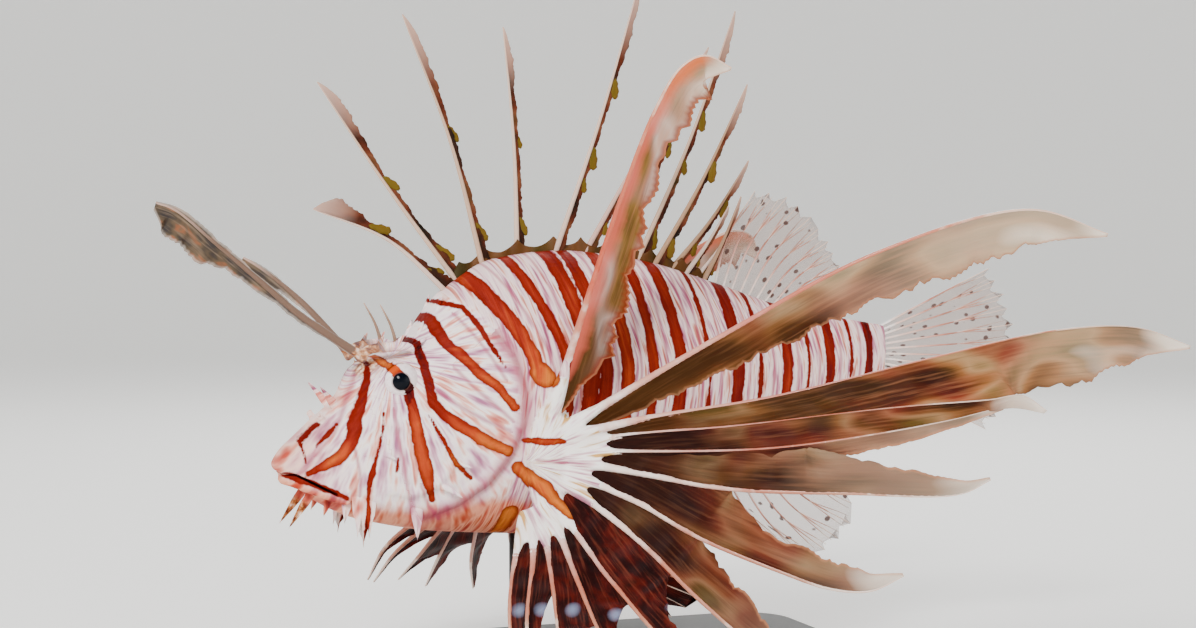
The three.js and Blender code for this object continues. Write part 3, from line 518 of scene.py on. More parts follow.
# The skin's markings: dark red, rust and orange bars drawn as lines on the flank, each with half
# widths and tones from its first point to its last (tone 0 is maroon, 1 is orange), and between
# them thin pink lines. Their distances are kept on the skin's points; the material draws the edges.
HEAD_BARS = [
    ([(-87, -15), (-88, -19.4), (-90.6, -27.6), (-92.9, -34.3), (-94.4, -41), (-98, -46.4), (-103.1, -49.4),
      (-108.6, -52.5)], (0.8, 1.4, 2.2, 2.2, 1.2), (0.1, 0.25, 0.35, 0.75, 0.6)),
    ([(-75.0, -27.2), (-74.2, -30.6), (-73.1, -39.2), (-70.9, -49.1), (-67.4, -61.8)],
     (1.7, 2.1, 2.3, 2.2, 1.2), (0.3, 0.65, 0.7, 0.8, 0.6)),
    ([(-71.1, -8.4), (-69.9, -14.1), (-68.7, -21.7), (-67.9, -28.8), (-63.2, -33.5), (-56.4, -38.1),
      (-48.5, -42.7), (-42.5, -45.6)], (1.4, 1.5, 1.9, 2.3, 2), (0.05, 0.15, 0.4, 0.75, 0.9)),
    ([(-65.3, -0.7), (-62.5, -8.3), (-56.9, -13.3), (-51, -19.4), (-45.4, -23.9), (-40.2, -30.5)],
     (2, 2.1, 1.9, 1.6), (0.35, 0.5, 0.65, 0.7)),
    ([(-104, -36), (-110.5, -42), (-109.1, -48.8)], (0.45, 0.65, 0.5), (0.1, 0.15, 0.2)),
    ([(-79.6, -47.5), (-80.1, -52)], (0.6, 0.6), (0.5, 0.6)),
    ([(-115, -53.2), (-108, -55.4), (-101, -58.4), (-96, -60.8)], (1.0, 1.35, 0.8), (0.3, 0.4, 0.5)),
    ([(-38.2, -51.7), (-30.6, -58.8), (-24.5, -66)], (2.2, 2.4, 2), (0.95, 0.9, 1)),
    ([(-31, -18.6), (-28.6, -20.8)], (3.6, 3.2), (0.85, 1)),
    ([(-83, -14.4), (-80, -17.8)], (1.6, 1.4), (0.95, 0.85)),
    ([(-75.6, -24.4), (-74.9, -28.4)], (1.9, 1.8), (-0.1, 0)),
    ([(-83.9, -31.9), (-84.7, -39), (-87.1, -48.8), (-88.9, -56), (-88.8, -66), (-90.8, -75)],
     (0.3, 0.55, 0.8, 0.75, 0.8, 0.5), (0.4, 0.4, 0.45, 0.5, 0.6, 0.6)),
    ([(-69.3, -32.8), (-64.8, -40.7), (-60.2, -49.3), (-54.8, -54.7)],
     (0.4, 0.7, 0.95, 0.5), (0.4, 0.45, 0.8, 0.5)),
    ([(-61.2, 5.1), (-55, 3.5), (-51.1, -2.2), (-48.8, -7.3), (-43, -16.8)],
     (0.9, 1.0, 0.9, 0.7, 0.4), (0.3, 0.35, 0.35, 0.35, 0.35)),
    ([(-98.4, -35.9), (-106, -43.4)], (0.4, 0.7, 0.4), (0.35, 0.5)),
    ([(-36.5, -42), (-24.5, -42.3)], (1.1, 1.4, 1.0), (0.75, 0.8)),
]
HEAD_LINES = [
    ([(-91.5, -20), (-95.5, -30), (-99.5, -38.5), (-106, -46)], 0.7),
    ([(-80.6, -31), (-79.4, -40), (-77.6, -49), (-76, -58), (-74, -66)], 0.7),
    ([(-65.5, -25), (-58, -30.5), (-50, -35), (-42, -38.5)], 0.8),
    ([(-60, -17), (-53.5, -24), (-47, -29.5), (-41, -35)], 0.7),
    ([(-58, 1), (-52.6, -6), (-47.4, -13.6), (-43, -21)], 0.7),
    ([(-71.5, -57), (-68.5, -64), (-64, -69)], 0.7), ([(-94, -42), (-92, -52), (-91.6, -60)], 0.6),
    ([(-33, -48.6), (-24, -49.6)], 0.7),
]
# Body bars: x on the flank's middle, how far they lean forward over the back, half width, tone
# there, tone low down. They all lean forward by BAR_SWEEP below the middle too.
SHOULDER_BAR = (-31, 19, 3.0)  # this one stops at the fin's root and goes on under it
BODY_BARS = [
    (-20, 12, 2.0, 0.45, 0.55), (-12, 6.5, 3.0, 0.4, 0.6),
    (-6.5, 5.5, 2.4, 0.4, 0.7), (2, 4, 2.6, 0.55, 0.8), (12.3, 3.4, 2.0, 0.45, 0.6),
    (23.3, 4, 2.4, 0.4, 0.55), (35.4, 3.2, 0.9, 0.4, 0.5), (47.8, 3, 2.5, 0.25, 0.5),
    (57.7, 2.8, 1.1, 0.3, 0.45), (69.6, 2.6, 2.2, 0.4, 0.5), (79.2, 2.2, 0.9, 0.4, 0.5),
    (89, 2, 2.0, 0.3, 0.45), (98.5, 1.8, 0.9, 0.35, 0.4), (107, 1.5, 1.7, 0.1, 0.25),
]
BODY_LINES = [
    (-25.5, 15), (-15.8, 9), (-1.8, 4.8), (7.2, 3.7), (17.6, 3.7), (28.6, 3.7), (32.3, 3.4),
    (40.6, 3), (52.8, 2.9), (63.4, 2.7), (74.4, 2.4), (84, 2.1), (93.6, 1.9), (102.8, 1.6),
]
BAR_SWEEP = 8.0
# Below this line, from chin to gill cover, the skin is flushed orange-pink.
JAW_LINE = [
    (-120, -51), (-108, -55.6), (-95, -60.6), (-80, -65), (-62, -65), (-50, -62), (-40, -62), (-26, -66),
]
CHIN_TAB = (-111, 7, -67)
HEAD_MIDDLE, HEAD_REACH = (-81.5, -34), 46.9  # inside this circle of the flank's plane the head's bars hold
CROWN, FIN_MIDDLE = (-80, -14), (-36, -50)  # the streaks run outwards from these
FAR = 20.0  # the distance that is kept where a mark doesn't reach


def forward(lean, levels):
    return (lean * np.maximum(0, (levels + 18) / 30) ** 1.3
            + BAR_SWEEP * np.maximum(0, (-18 - levels) / 50) ** 1.3)


def body_bar(x, lean, top=26.0, bottom=-82.0):
    levels = np.linspace(top, bottom, max(3, int((top - bottom) / 6)))
    return np.stack([x - forward(lean, levels), levels], 1)


def spread(values, share):
    return np.interp(share, np.linspace(0, 1, len(values)), values)


def marked(flank, bars, lines, where):
    """Distance in mm to the nearest bar's edge and its tone, and the offset from the nearest line."""
    edge, closest, offset = (np.full(len(flank), FAR) for _ in range(3))
    tone = np.zeros(len(flank))
    for line, halves, tones in bars:
        off, _, share = beside(flank, line)
        distance = np.where(where, off - spread(halves, share), FAR)
        near = distance < edge
        edge[near] = distance[near]
        tone[near] = spread(tones, share)[near]
    for line, half in lines:
        off, hand, _ = beside(flank, line)
        distance = np.where(where, off / half, FAR)
        near = distance < closest
        closest[near] = distance[near]
        offset[near] = (off * hand / half)[near]
    return edge, tone, offset, closest


def mark_skin(mesh):
    """Keeps on each point what the finish needs: distances, directions of streaks, and shares."""
    places = mesh_points(mesh)
    x, z = places[:, 0], places[:, 2]
    flank = places[:, [0, 2]]
    past = np.linalg.norm(flank - HEAD_MIDDLE, axis=1) - HEAD_REACH
    behind = (past > 0) | (x > -36)
    either = places * (1, 0, 1) + (0, 1, 0) * np.abs(places)
    lobe = np.sum((either - FIN_ROOT) ** 2 / (np.array(FIN_ROOT_HALF) * 1.06) ** 2, axis=1) < 1
    near_root = np.flatnonzero((np.abs(x + 20) < 26) & (np.abs(z + 54) < 34))
    for sign in SIDES.values():
        for ray in PECTORAL_RAYS:
            points = curve_through(folded(ray, sign))
            for at in points(np.linspace(0, CUFF_LENGTH / points.length, 14)):
                lobe[near_root] |= np.linalg.norm(places[near_root] - at, axis=1) < 3.4
    bars = [(body_bar(at, lean), (half,), (high, high, low)) for at, lean, half, high, low in BODY_BARS]
    at, lean, half = SHOULDER_BAR
    bars.append((body_bar(at, lean, bottom=-21.0), (half, half, 0.8 * half), (0.45, 0.5, 0.85)))
    bars.append((body_bar(at, lean, -68.0), (half,), (0.9, 0.9)))
    body = marked(flank, bars, [(body_bar(at, lean), 0.6) for at, lean in BODY_LINES], behind & ~lobe)
    head = marked(flank, HEAD_BARS, HEAD_LINES, ~behind | lobe | (x < -20))
    take = head[0] < body[0]
    near = head[3] < body[3]
    on_body = np.where(lobe, 0, np.maximum(smoothstep(-2, 2, past), smoothstep(-40, -36, x)))
    gill_off, gill_hand, gill_share = beside(flank, GILL_EDGE)
    gill_off = np.where((gill_share > 0.01) & (gill_share < 0.99), gill_off * gill_hand, FAR)
    jaw_off, jaw_hand, _ = beside(flank, JAW_LINE)
    brow = np.linalg.norm((either - STUB + (2, 0, -1.5)) * (0.8, 1, 1), axis=1)
    chin = np.linalg.norm(either - CHIN_TAB, axis=1)
    away = flank - np.where(lobe[:, None], FIN_MIDDLE, CROWN)
    round_r = np.linalg.norm(away, axis=1) + 1e-6
    for key, values in (
        ("on_body", on_body),
        ("sweep", x + forward(8, z)),
        ("level", z),
        ("round_a", 30 * away[:, 0] / round_r),
        ("round_b", 30 * away[:, 1] / round_r),
        ("round_r", round_r),
        ("gill", gill_off),
        ("flush", np.maximum(smoothstep(-2, 3, -jaw_off * jaw_hand), 0.55 * smoothstep(-92, -113, x))
         * smoothstep(-24, -34, x)),
        ("brow", np.maximum(1 - smoothstep(6.5, 11, brow), 1 - smoothstep(3.5, 6.5, chin))),
        ("bar_edge", np.minimum(head[0], body[0])),
        ("bar_tone", np.where(take, head[1], body[1])),
        ("line_offset", np.where(near, head[2], body[2])),
        ("line_far", np.where(near, head[3], body[3])),
        ("fin_root", np.where(lobe, 1.0, 0.0)),
    ):
        mesh.attributes.new(key, "FLOAT", "POINT").data.foreach_set("value", values)


mark_skin(skin.data)


def node(tree, kind, inputs, stops=(), out=None, **settings):
    """Adds a node with its settings, inputs and colour stops, and gives back one of its outputs."""
    made = tree.nodes.new(kind if kind.startswith("Geometry") else "ShaderNode" + kind)
    for key, value in settings.items():
        setattr(made, key, value)
    fill(tree, made, inputs)
    if stops:
        ramp = made.color_ramp.elements
        for spot, (place, code) in zip((ramp[0], ramp[1]), (stops[0], stops[-1])):
            spot.position, spot.color = place, linear(code)
        for place, code in stops[1:-1]:
            ramp.new(place).color = linear(code)
    return made.outputs[out or (2 if settings.get("data_type") == "RGBA" else 0)]


# Fish skin: a wet, satin hide of overlapping scales about 1.6 mm across, slightly see-into. To the eye
# it is white drawn over with fine lilac and rose streaks along its folds, and the bars break along the
# scales. The streaks' lilac is painted shade in the folds, and their white is painted satin highlight.
SCALE = 0.0016
hide, tree, shader = new_finish("scaled fish skin, wet satin")
coords = node(tree, "TexCoord", {}, out="Object")
scales = node(tree, "TexVoronoi", {"Vector": coords, "Scale": 1 / SCALE, "Randomness": 0.7})
blotch, ragged, wander = (
    node(tree, "TexNoise", {"Vector": coords, "Scale": per_metre, "Detail": detail})
    for per_metre, detail in ((70.0, 3.0), (420.0, 2.0), (120.0, 1.0))
)

# Streaks run along the bars: down the flank, and out from the crown over the head. The marks are in
# mm, and each direction is stretched by its own number.
head_streak, body_streak = (
    node(tree, "TexNoise", {
        "Vector": node(tree, "CombineXYZ", {
            k: node(tree, "Math", {0: mark, 1: stretch}, operation="MULTIPLY")
            for k, (mark, stretch) in enumerate(directions)
        }), "Scale": 1.0, "Detail": 2.0,
    })
    for directions in (
        (("round_a", 0.42), ("round_b", 0.42), ("round_r", 0.08)), (("sweep", 0.62), ("level", 0.06)),
    )
)
streak = node(tree, "Mix", {0: "on_body", 2: head_streak, 3: body_streak}, data_type="FLOAT")
# The streaks are partly painted light: lilac painted shade in the folds and white painted satin highlight
# on their crests, over the skin's own pink and rose. On the fin root the lilac and ochre lines are painted
# shade between its ribs.
head_streaks_and_fold_shade, flank_streaks_and_fold_shade, jaw_flush, fin_flesh_and_rib_shade = (
    node(tree, "ValToRGB", {"Fac": streak}, stops)
    for stops in (
        [(0.26, "#a46484"), (0.38, "#d4a4b4"), (0.47, "#f4e0e4"), (0.54, "#fceee8"), (0.62, "#eca898"),
         (0.74, "#bc5850")],
        [(0.26, "#8c4460"), (0.38, "#bc7c90"), (0.46, "#e6c6c8"), (0.55, "#f4dcd6"), (0.62, "#d49080"),
         (0.74, "#a04440")],
        [(0.3, "#8a1c08"), (0.42, "#c04a22"), (0.54, "#e89068"), (0.68, "#b03410")],
        [(0.3, "#b57a8e"), (0.41, "#ecd0d2"), (0.48, "#fffaf4"), (0.58, "#fff6ee"), (0.68, "#d0a060")],
    )
)
flushed, browed = (
    node(tree, "Math", {0: mark, 1: 0.9}, operation="MULTIPLY") for mark in ("flush", "brow")
)
brow_tone = node(tree, "ValToRGB", {"Fac": ragged}, [
    (0.38, "#4c1a04"), (0.48, "#9a5c28"), (0.56, "#c89468"), (0.66, "#e8d0bc"),
])

# Both noises are centred on their means, so that they move the bars' edges without thinning the bars.
sway = node(tree, "Math", {0: ragged, 1: 1.2, 2: -0.6}, operation="MULTIPLY_ADD")
stray = node(tree, "Math", {0: wander, 1: 1.4, 2: -0.7}, operation="MULTIPLY_ADD")
moved = node(tree, "Math", {0: sway, 1: stray}, operation="ADD")
edge = node(tree, "Math", {0: "bar_edge", 1: moved}, operation="ADD")
from_gill, from_line = (
    node(tree, "Math", {0: mark}, operation="ABSOLUTE") for mark in ("gill", "line_offset")
)
thin_edge = node(tree, "Math", {0: sway, 1: 0.35, 2: from_line}, operation="MULTIPLY_ADD")
gill_fold, in_line, in_rim, in_bar, gloss = (
    node(tree, "MapRange", {"Value": value, 1: start, 2: end, 3: low, 4: high})
    for value, start, end, low, high in (
        (from_gill, 4.2, 1.0, 0.0, 0.75), (thin_edge, 1.5, 0.3, 0.0, 0.6), (edge, -1.7, -0.3, 0.0, 0.8),
        (edge, 0.25, -0.15, 0.0, 1.0), (ragged, 0.3, 0.7, 0.46, 0.62),
    )
)
not_far = node(tree, "Math", {0: "line_far", 1: 1.6}, operation="LESS_THAN")
line_share = node(tree, "Math", {0: in_line, 1: not_far}, operation="MULTIPLY")
tone = "bar_tone"
for noise, strength in ((blotch, 0.5), (streak, 0.6)):
    centred = node(tree, "Math", {0: noise, 1: strength, 2: -strength / 2}, operation="MULTIPLY_ADD")
    tone = node(tree, "Math", {0: tone, 1: centred}, operation="ADD")
bar_colour = node(tree, "ValToRGB", {"Fac": tone}, [
    (0.0, "#340a0c"), (0.25, "#66120e"), (0.5, "#8a2414"), (0.75, "#b2441e"), (1.0, "#cc7028"),
])
bar_colour = node(tree, "Mix", {0: in_rim, 6: bar_colour, 7: "#6c0c04"}, data_type="RGBA")

# The soft fold of the gill cover is mauve pink, and the brow round the feeler's root beige brown.
# The head and flank grounds and the fin root's flesh carry painted fold shade, painted rib shade and
# painted satin highlight in their streaks.
colour = head_streaks_and_fold_shade
for share, tint in (
    ("on_body", flank_streaks_and_fold_shade), (flushed, jaw_flush), ("fin_root", fin_flesh_and_rib_shade), (gill_fold, "#ae4c62"),
    (browed, brow_tone), (line_share, "#a8405c"), (in_bar, bar_colour),
):
    colour = node(tree, "Mix", {0: share, 6: colour, 7: tint}, data_type="RGBA")
grain = node(tree, "Bump", {"Height": scales, "Strength": 0.3, "Distance": 0.0003})
crease = node(tree, "Bump", {"Height": streak, "Strength": 0.45, "Distance": 0.0012, "Normal": grain})
fill(tree, shader, {
    "Base Color": colour, "Normal": crease, "Roughness": gloss, "Specular IOR Level": 0.04,
    "Subsurface Weight": 0.1, "Subsurface Radius": (1.0, 0.4, 0.25), "Subsurface Scale": 0.0015,
})
skin.data.materials.clear()
skin.data.materials.append(hide)
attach(skin, "root")
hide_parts("head", "torso", "tail_stalk")

# Eyes: glass-clear, wet balls under a thin skin, in their sockets. The pupil is blue-black, and the
# white iris round it is crossed by the bar that runs through the eye, orange above and maroon below.
BAR_LEAN = math.radians(36)  # of the bar through the eye, its upper end towards the snout
eye_glaze, tree, shader = new_finish("wet eye, pupil in a banded iris")
coords = node(tree, "TexCoord", {}, out="Object")
speck = node(tree, "TexNoise", {"Vector": coords, "Scale": 900.0, "Detail": 2.0})
wobble = node(tree, "Math", {0: speck, 1: 1.2, 2: -0.6}, operation="MULTIPLY_ADD")
iris = node(tree, "Math", {0: "across_bar", 1: wobble}, operation="ADD")
off_band = node(tree, "Math", {0: iris}, operation="ABSOLUTE")
in_band, up_band, veins, off_pupil, round_pupil = (
    node(tree, "MapRange", {"Value": value, 1: start, 2: end, 3: 0.0, 4: high})
    for value, start, end, high in (
        (off_band, 2.0, 1.7, 1.0), ("up_bar", -6.0, 6.0, 1.0), (speck, 0.46, 0.66, 0.25),
        ("from_axis", 2.85, 3.05, 1.0), ("from_axis", 3.5, 3.15, 0.6),
    )
)
band_colour = node(tree, "ValToRGB", {"Fac": up_band}, [
    (0.1, "#3a0608"), (0.7, "#2c0406"), (0.8, "#8a1c06"), (0.92, "#c4480e"),
])
colour = "#f6eaea"
for share, tint in ((veins, "#c08c98"), (in_band, band_colour), (round_pupil, "#5c4038")):
    colour = node(tree, "Mix", {0: share, 6: colour, 7: tint}, data_type="RGBA")
colour = node(tree, "Mix", {0: off_pupil, 6: "#01050e", 7: colour}, data_type="RGBA")
fill(tree, shader, {
    "Base Color": colour, "Roughness": 0.12, "Specular IOR Level": 0.05, "Coat Weight": 0.12,
    "Coat Roughness": 0.03,
})
for side, sign in SIDES.items():
    centre = on_side(EYE, sign)
    points, faces, _ = ball(centre, (EYE_RADIUS,) * 3, 40, 56)
    off = points - centre
    gaze = unit(np.array((-0.18, sign, 0.04)))
    out = off @ gaze
    flat = np.linalg.norm(off - out[:, None] * gaze, axis=1)
    cornea = np.where(out > 0, 0.7 * np.exp(-(flat / 3.4) ** 2), 0)
    across = math.cos(BAR_LEAN) * off[:, 0] + math.sin(BAR_LEAN) * off[:, 2]
    up_bar = math.cos(BAR_LEAN) * off[:, 2] - math.sin(BAR_LEAN) * off[:, 0]
    eye = make_piece(f"eyeball_{side}", [(points + cornea[:, None] * gaze, faces, {
        "from_axis": np.where(out > 0, flat, 9), "across_bar": across, "up_bar": up_bar,
    })], eye_glaze)
    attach(eye, "root")
    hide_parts(f"eye_{side}")


# Head spines and flaps: short bony thorns on brow, crown, nape and cheek, and soft tabs of skin on
# chin, jaw and cheek with torn tips. All grow out of the hide and share its colours.
BONY_SPINES = [  # root, tip, half width at the root
    ((-84, 11.5, -10), (-82, 11.8, -5.8), 1.3), ((-78, 13, -9.6), (-75.2, 13.6, -5.6), 1.3),
    ((-72, 13.2, -10.4), (-67.6, 13.6, -7), 1.3), ((-69, 7, -8), (-67, 7.6, -1.4), 1.5),
    ((-62, 7.4, 1), (-60.6, 8.2, 7.4), 1.5), ((-93, 15, -45), (-90, 18.6, -46.5), 1.1),
    ((-84, 18.6, -46), (-80.6, 22.4, -47.6), 1.1), ((-60, 22, -50), (-54.6, 26.2, -51), 1.3),
    ((-63, 21.6, -58), (-58.4, 25.6, -61), 1.3),
]
SKIN_TABS = [  # root, tip, half width, points on its edge
    ((-106.6, 6.4, -60), (-114.6, 7.6, -71.4), 1.5, 1), ((-101, 8.6, -62.4), (-103, 10, -67.4), 1.2, 1),
    ((-90, 15, -61), (-91.4, 19.4, -77.4), 4.1, 3), ((-95.6, 13.4, -62), (-97, 16, -69), 1.6, 1),
    ((-72, 17, -65), (-72.8, 20.4, -75.6), 2.0, 1), ((-97, 5.6, -31), (-104, 9, -22.8), 1.6, 1),
]


def two_sided(middle, out):
    """Rings round a thin sheet: over its one side and back over the other."""
    return np.concatenate([middle + out, (middle - out)[:, ::-1]], axis=1)


def tab(root, tip, half, points):
    """A soft flap, wide at its root, that runs out into one point or several."""
    root, tip = np.array(root, float), np.array(tip, float)
    ahead, length = unit(tip - root), np.linalg.norm(tip - root)
    s = np.linspace(-0.15, 1, 28)
    c = np.linspace(-1, 1, 12 * points + 1)
    face = unit(np.cross((1, 0, 0), ahead))
    side = np.cross(ahead, face)
    wide = half * np.interp(s, [-0.15, 0.3, 1], [1.1, 0.95, 0.8 if points > 1 else 0.15])
    teeth = 1 - np.abs((0.5 * points * (c + 1)) % 1 * 2 - 1)
    longest = (0.45 + 0.55 * teeth) * (1 - 0.3 * np.abs(c)) if points > 1 else 1 - 0.1 * np.abs(c)
    reach = s[:, None] * np.where(s[:, None] > 0, 1 + (longest[None, :] - 1) * s[:, None], 1)
    wave = 0.6 * np.sin(3.2 * c)[None, :] * smoothstep(0, 1, s)[:, None]
    middle = (root + reach[..., None] * length * ahead + (wide[:, None] * c[None, :])[..., None] * side
              + wave[..., None] * face)
    thick = (0.32 * (1 - 0.7 * smoothstep(0, 1, s))[:, None] * (1 - 0.7 * np.abs(c) ** 3)[None, :] + 0.06)
    return loft(two_sided(middle, thick[..., None] * face))


thorns = []
for sign in SIDES.values():
    for root, tip, half in BONY_SPINES:
        root, tip = on_side(root, sign), on_side(tip, sign)
        route = [root - 0.2 * (tip - root), (root + tip) / 2 + (0, 0, 0.3), tip]
        point = lambda s, half=half: half * (1 - s) ** 0.8 + 0.12
        thorns.append(limb(route, point, point, (0, 0, 1), 10, 10))
    for root, tip, half, points in SKIN_TABS:
        thorns.append(tab(on_side(root, sign), on_side(tip, sign), half, points))
flaps = make_piece("head_spines_and_flaps", thorns)
mark_skin(flaps.data)
blush = flaps.data.attributes["flush"].data
pale_tabs = np.where(mesh_points(flaps.data)[:, 0] > -98, 0.25, 1.0)
redness = np.empty(len(blush))
blush.foreach_get("value", redness)
blush.foreach_set("value", redness * pale_tabs)
flaps.data.materials.append(hide)
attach(flaps, "root")


# Back spines: thirteen venomous spines, each a stiff tapered rod with a narrow membrane down its rear
# edge that carries small olive lappets and ends in a soft leaf. A low web joins their feet.
DORSAL_SPINES = [  # root x, lean back from upright, length, bow, leaf width
    (-56, -59.6, 55, 4.6, 6.4), (-52, -34, 83, -1, 4.8), (-43, -20.5, 91, 2.6, 3.8),
    (-30.5, -1, 82, 1.4, 3.2), (-17, 15.7, 101, 1.2, 3.2), (-6.5, 35, 94, -1.2, 3.2),
    (4, 23.4, 69, 1, 3), (14, 25.7, 104, 2, 3.4),
    (20.5, 26.2, 73, 1.6, 3), (26.5, 40.4, 53, 1.6, 2.6), (32.4, 33, 29, 0.8, 2.2),
    (36.4, 41, 18, 0.4, 1.8), (40, 23.4, 33, 0.8, 1.7),
]
SPINE_SPLAY = math.radians(8)


def ray_rods():
    """The tree that turns lines into fin rays: round, tapered, with a slight joint every few mm."""
    tree = bpy.data.node_groups.new("fin rays", "GeometryNodeTree")
    for name, kind in (
        ("Lines", "Geometry"), ("Joint spacing", "Float"), ("Joint depth", "Float"), ("Sides", "Int"),
        ("Finish", "Material"),
    ):
        tree.interface.new_socket(name, in_out="INPUT", socket_type="NodeSocket" + kind)
    tree.interface.new_socket("Rays", in_out="OUTPUT", socket_type="NodeSocketGeometry")
    given = tree.nodes.new("NodeGroupInput").outputs
    radius, gone = (
        node(tree, "GeometryNodeInputNamedAttribute", {"Name": name}, data_type="FLOAT")
        for name in ("girth", "gone")
    )
    wave = node(tree, "Math", {0: gone, 1: given["Joint spacing"]}, operation="DIVIDE")
    wave = node(tree, "Math", {0: wave, 1: 2 * math.pi}, operation="MULTIPLY")
    wave = node(tree, "Math", {0: wave}, operation="COSINE")
    crest = node(tree, "Math", {0: wave, 1: 0.6}, operation="GREATER_THAN")
    swell = node(tree, "Math", {0: crest, 1: given["Joint depth"], 2: 1.0}, operation="MULTIPLY_ADD")
    girth = node(tree, "Math", {0: swell, 1: radius}, operation="MULTIPLY")
    curves = node(tree, "GeometryNodeMeshToCurve", {"Mesh": given["Lines"]})
    curves = node(tree, "GeometryNodeSetCurveRadius", {"Curve": curves, "Radius": girth})
    profile = node(tree, "GeometryNodeCurvePrimitiveCircle", {"Resolution": given["Sides"], "Radius": 1.0})
    rods = node(tree, "GeometryNodeCurveToMesh", {
        "Curve": curves, "Profile Curve": profile, "Scale": girth, "Fill Caps": True,
    })
    rods = node(tree, "GeometryNodeSetShadeSmooth", {0: rods})
    rods = node(tree, "GeometryNodeRealizeInstances", {0: rods})
    rods = node(tree, "GeometryNodeSetMaterial", {"Geometry": rods, "Material": given["Finish"]})
    fill(tree, tree.nodes.new("NodeGroupOutput"), {"Rays": rods})
    return tree


RAY_TREE = ray_rods()
RAY_PITCH = 0.8  # from point to point of a ray's line


def grow_rays(name, lines, material, spacing, depth, sides):
    """Fin rays as one object. Each line is a curve, a girth for shares of its length, and marks."""
    points, edges, girths, gone, extra = [], [], [], [], {}
    for curve, girth, values in lines:
        rows = max(6, int(curve.length / RAY_PITCH))
        s = np.linspace(0, 1, rows + 1)
        first = sum(map(len, points))
        points.append(curve(s))
        edges += [(first + k, first + k + 1) for k in range(rows)]
        girths.append(girth(s) / 1000)
        gone.append(s * curve.length / 1000)
        for key, value in {"share": s, **values}.items():
            extra.setdefault(key, []).append(np.broadcast_to(value, s.shape))
    mesh = bpy.data.meshes.new(name)
    mesh.from_pydata(metres(np.vstack(points)).tolist(), edges, [])
    columns = {"girth": girths, "gone": gone, **extra}
    for key, values in columns.items():
        mesh.attributes.new(key, "FLOAT", "POINT").data.foreach_set("value", np.concatenate(values))
    rays = placed(name, mesh)
    grow = rays.modifiers.new("grow", "NODES")
    grow.node_group = RAY_TREE
    keys = {item.name: item.identifier for item in RAY_TREE.interface.items_tree if item.in_out == "INPUT"}
    for key, value in (
        ("Joint spacing", spacing), ("Joint depth", depth), ("Sides", sides), ("Finish", material),
    ):
        grow[keys[key]] = value
    return settle(rays)


def vane(curve, width, face, side, rows, columns, thick, tear, ripple, seed, marks, join=None):
    """Membrane on one side of a ray: a thin closed shell from the ray to a torn, rippled rim.

    width and thick are its full width and its half thickness by the ray, for a share of the way.
    tear is the depth of the rim's notches, as a share of the width, and their pitch. ripple is the
    height and the length of the waves.
    With join, the rim follows the next ray's curve up to a share of this ray, where it has reached
    a share of that one, and from there it draws in to the membrane's own width.
    """
    chance = np.random.default_rng(seed)
    s = np.linspace(0, 1, rows)
    at = curve(s)
    ahead = headings(at)
    outward = unit(np.cross(ahead, face)) * side
    gone = s * curve.length
    depth, pitch = tear
    phase = chance.uniform(0, 6)
    saw = (gone / pitch + 0.35 * np.sin(gone / pitch * 1.7 + phase)) % 1
    torn = depth * (1.2 * np.abs(saw - 0.3) ** 0.7 - 0.5) + 0.15 * depth * np.sin(gone * 2.9 + phase)
    torn = (torn + 0.3 * depth * np.sin(gone * 0.31 + 2 * phase)) * smoothstep(1, 0.85, s)
    wide = width(s) * (1 - torn)
    rim = at + outward * wide[:, None]
    free = np.ones(rows)
    if join:
        neighbour, own, its = join
        free = smoothstep(own, own + 0.18, s)
        stay = neighbour(its * np.minimum(1, s / own))
        rim = rim * free[:, None] + stay * (1 - free[:, None])
    across = rim - at
    span = np.linalg.norm(across, axis=1)
    out = unit(np.cross(across, ahead))
    c = np.linspace(0, 1, columns) ** 0.9
    height, length = ripple
    roll = np.sin(2 * math.pi * (gone[:, None] / length + 0.35 * c[None, :]) + phase)
    roll = roll + 0.5 * np.sin(2 * math.pi * gone[:, None] / (0.43 * length) + 2 * phase)
    loose = np.where(free[:, None] > 0.5, c[None, :] ** 1.5, np.sin(math.pi * c)[None, :])
    swing = height * roll * loose * smoothstep(0.02, 0.3, s)[:, None] * np.minimum(1, span / 8)[:, None]
    middle = at[:, None, :] + c[None, :, None] * across[:, None, :] + swing[..., None] * out[:, None, :]
    body = np.maximum(thick(s)[:, None] * (1 - c[None, :]) ** 2, 0.09)
    shell = two_sided(middle, body[..., None] * out[:, None, :])
    grid = lambda values: np.concatenate([values, values[:, ::-1]], axis=1)
    over = np.broadcast_to(c[None, :], (rows, columns))
    return loft(shell, **{
        "share": s[:, None], "gone": gone[:, None], "across": grid(over),
        "to_rim": grid((1 - over) * span[:, None] + 30 * (1 - free[:, None])),
        "from_ray": grid(over * span[:, None]),
        **{key: np.full((rows, 1), float(value)) for key, value in marks.items()},
    })


def streaked(tree, length, breadth, detail):
    """Noise drawn out along the ray, from the membrane's own lengths, in mm."""
    place = node(tree, "CombineXYZ", {
        k: node(tree, "Math", {0: mark, 1: stretch}, operation="MULTIPLY")
        for k, (mark, stretch) in enumerate((("gone", 1 / length), ("from_ray", 1 / breadth), ("ray", 7.3)))
    })
    return node(tree, "TexNoise", {"Vector": place, "Scale": 1.0, "Detail": detail})


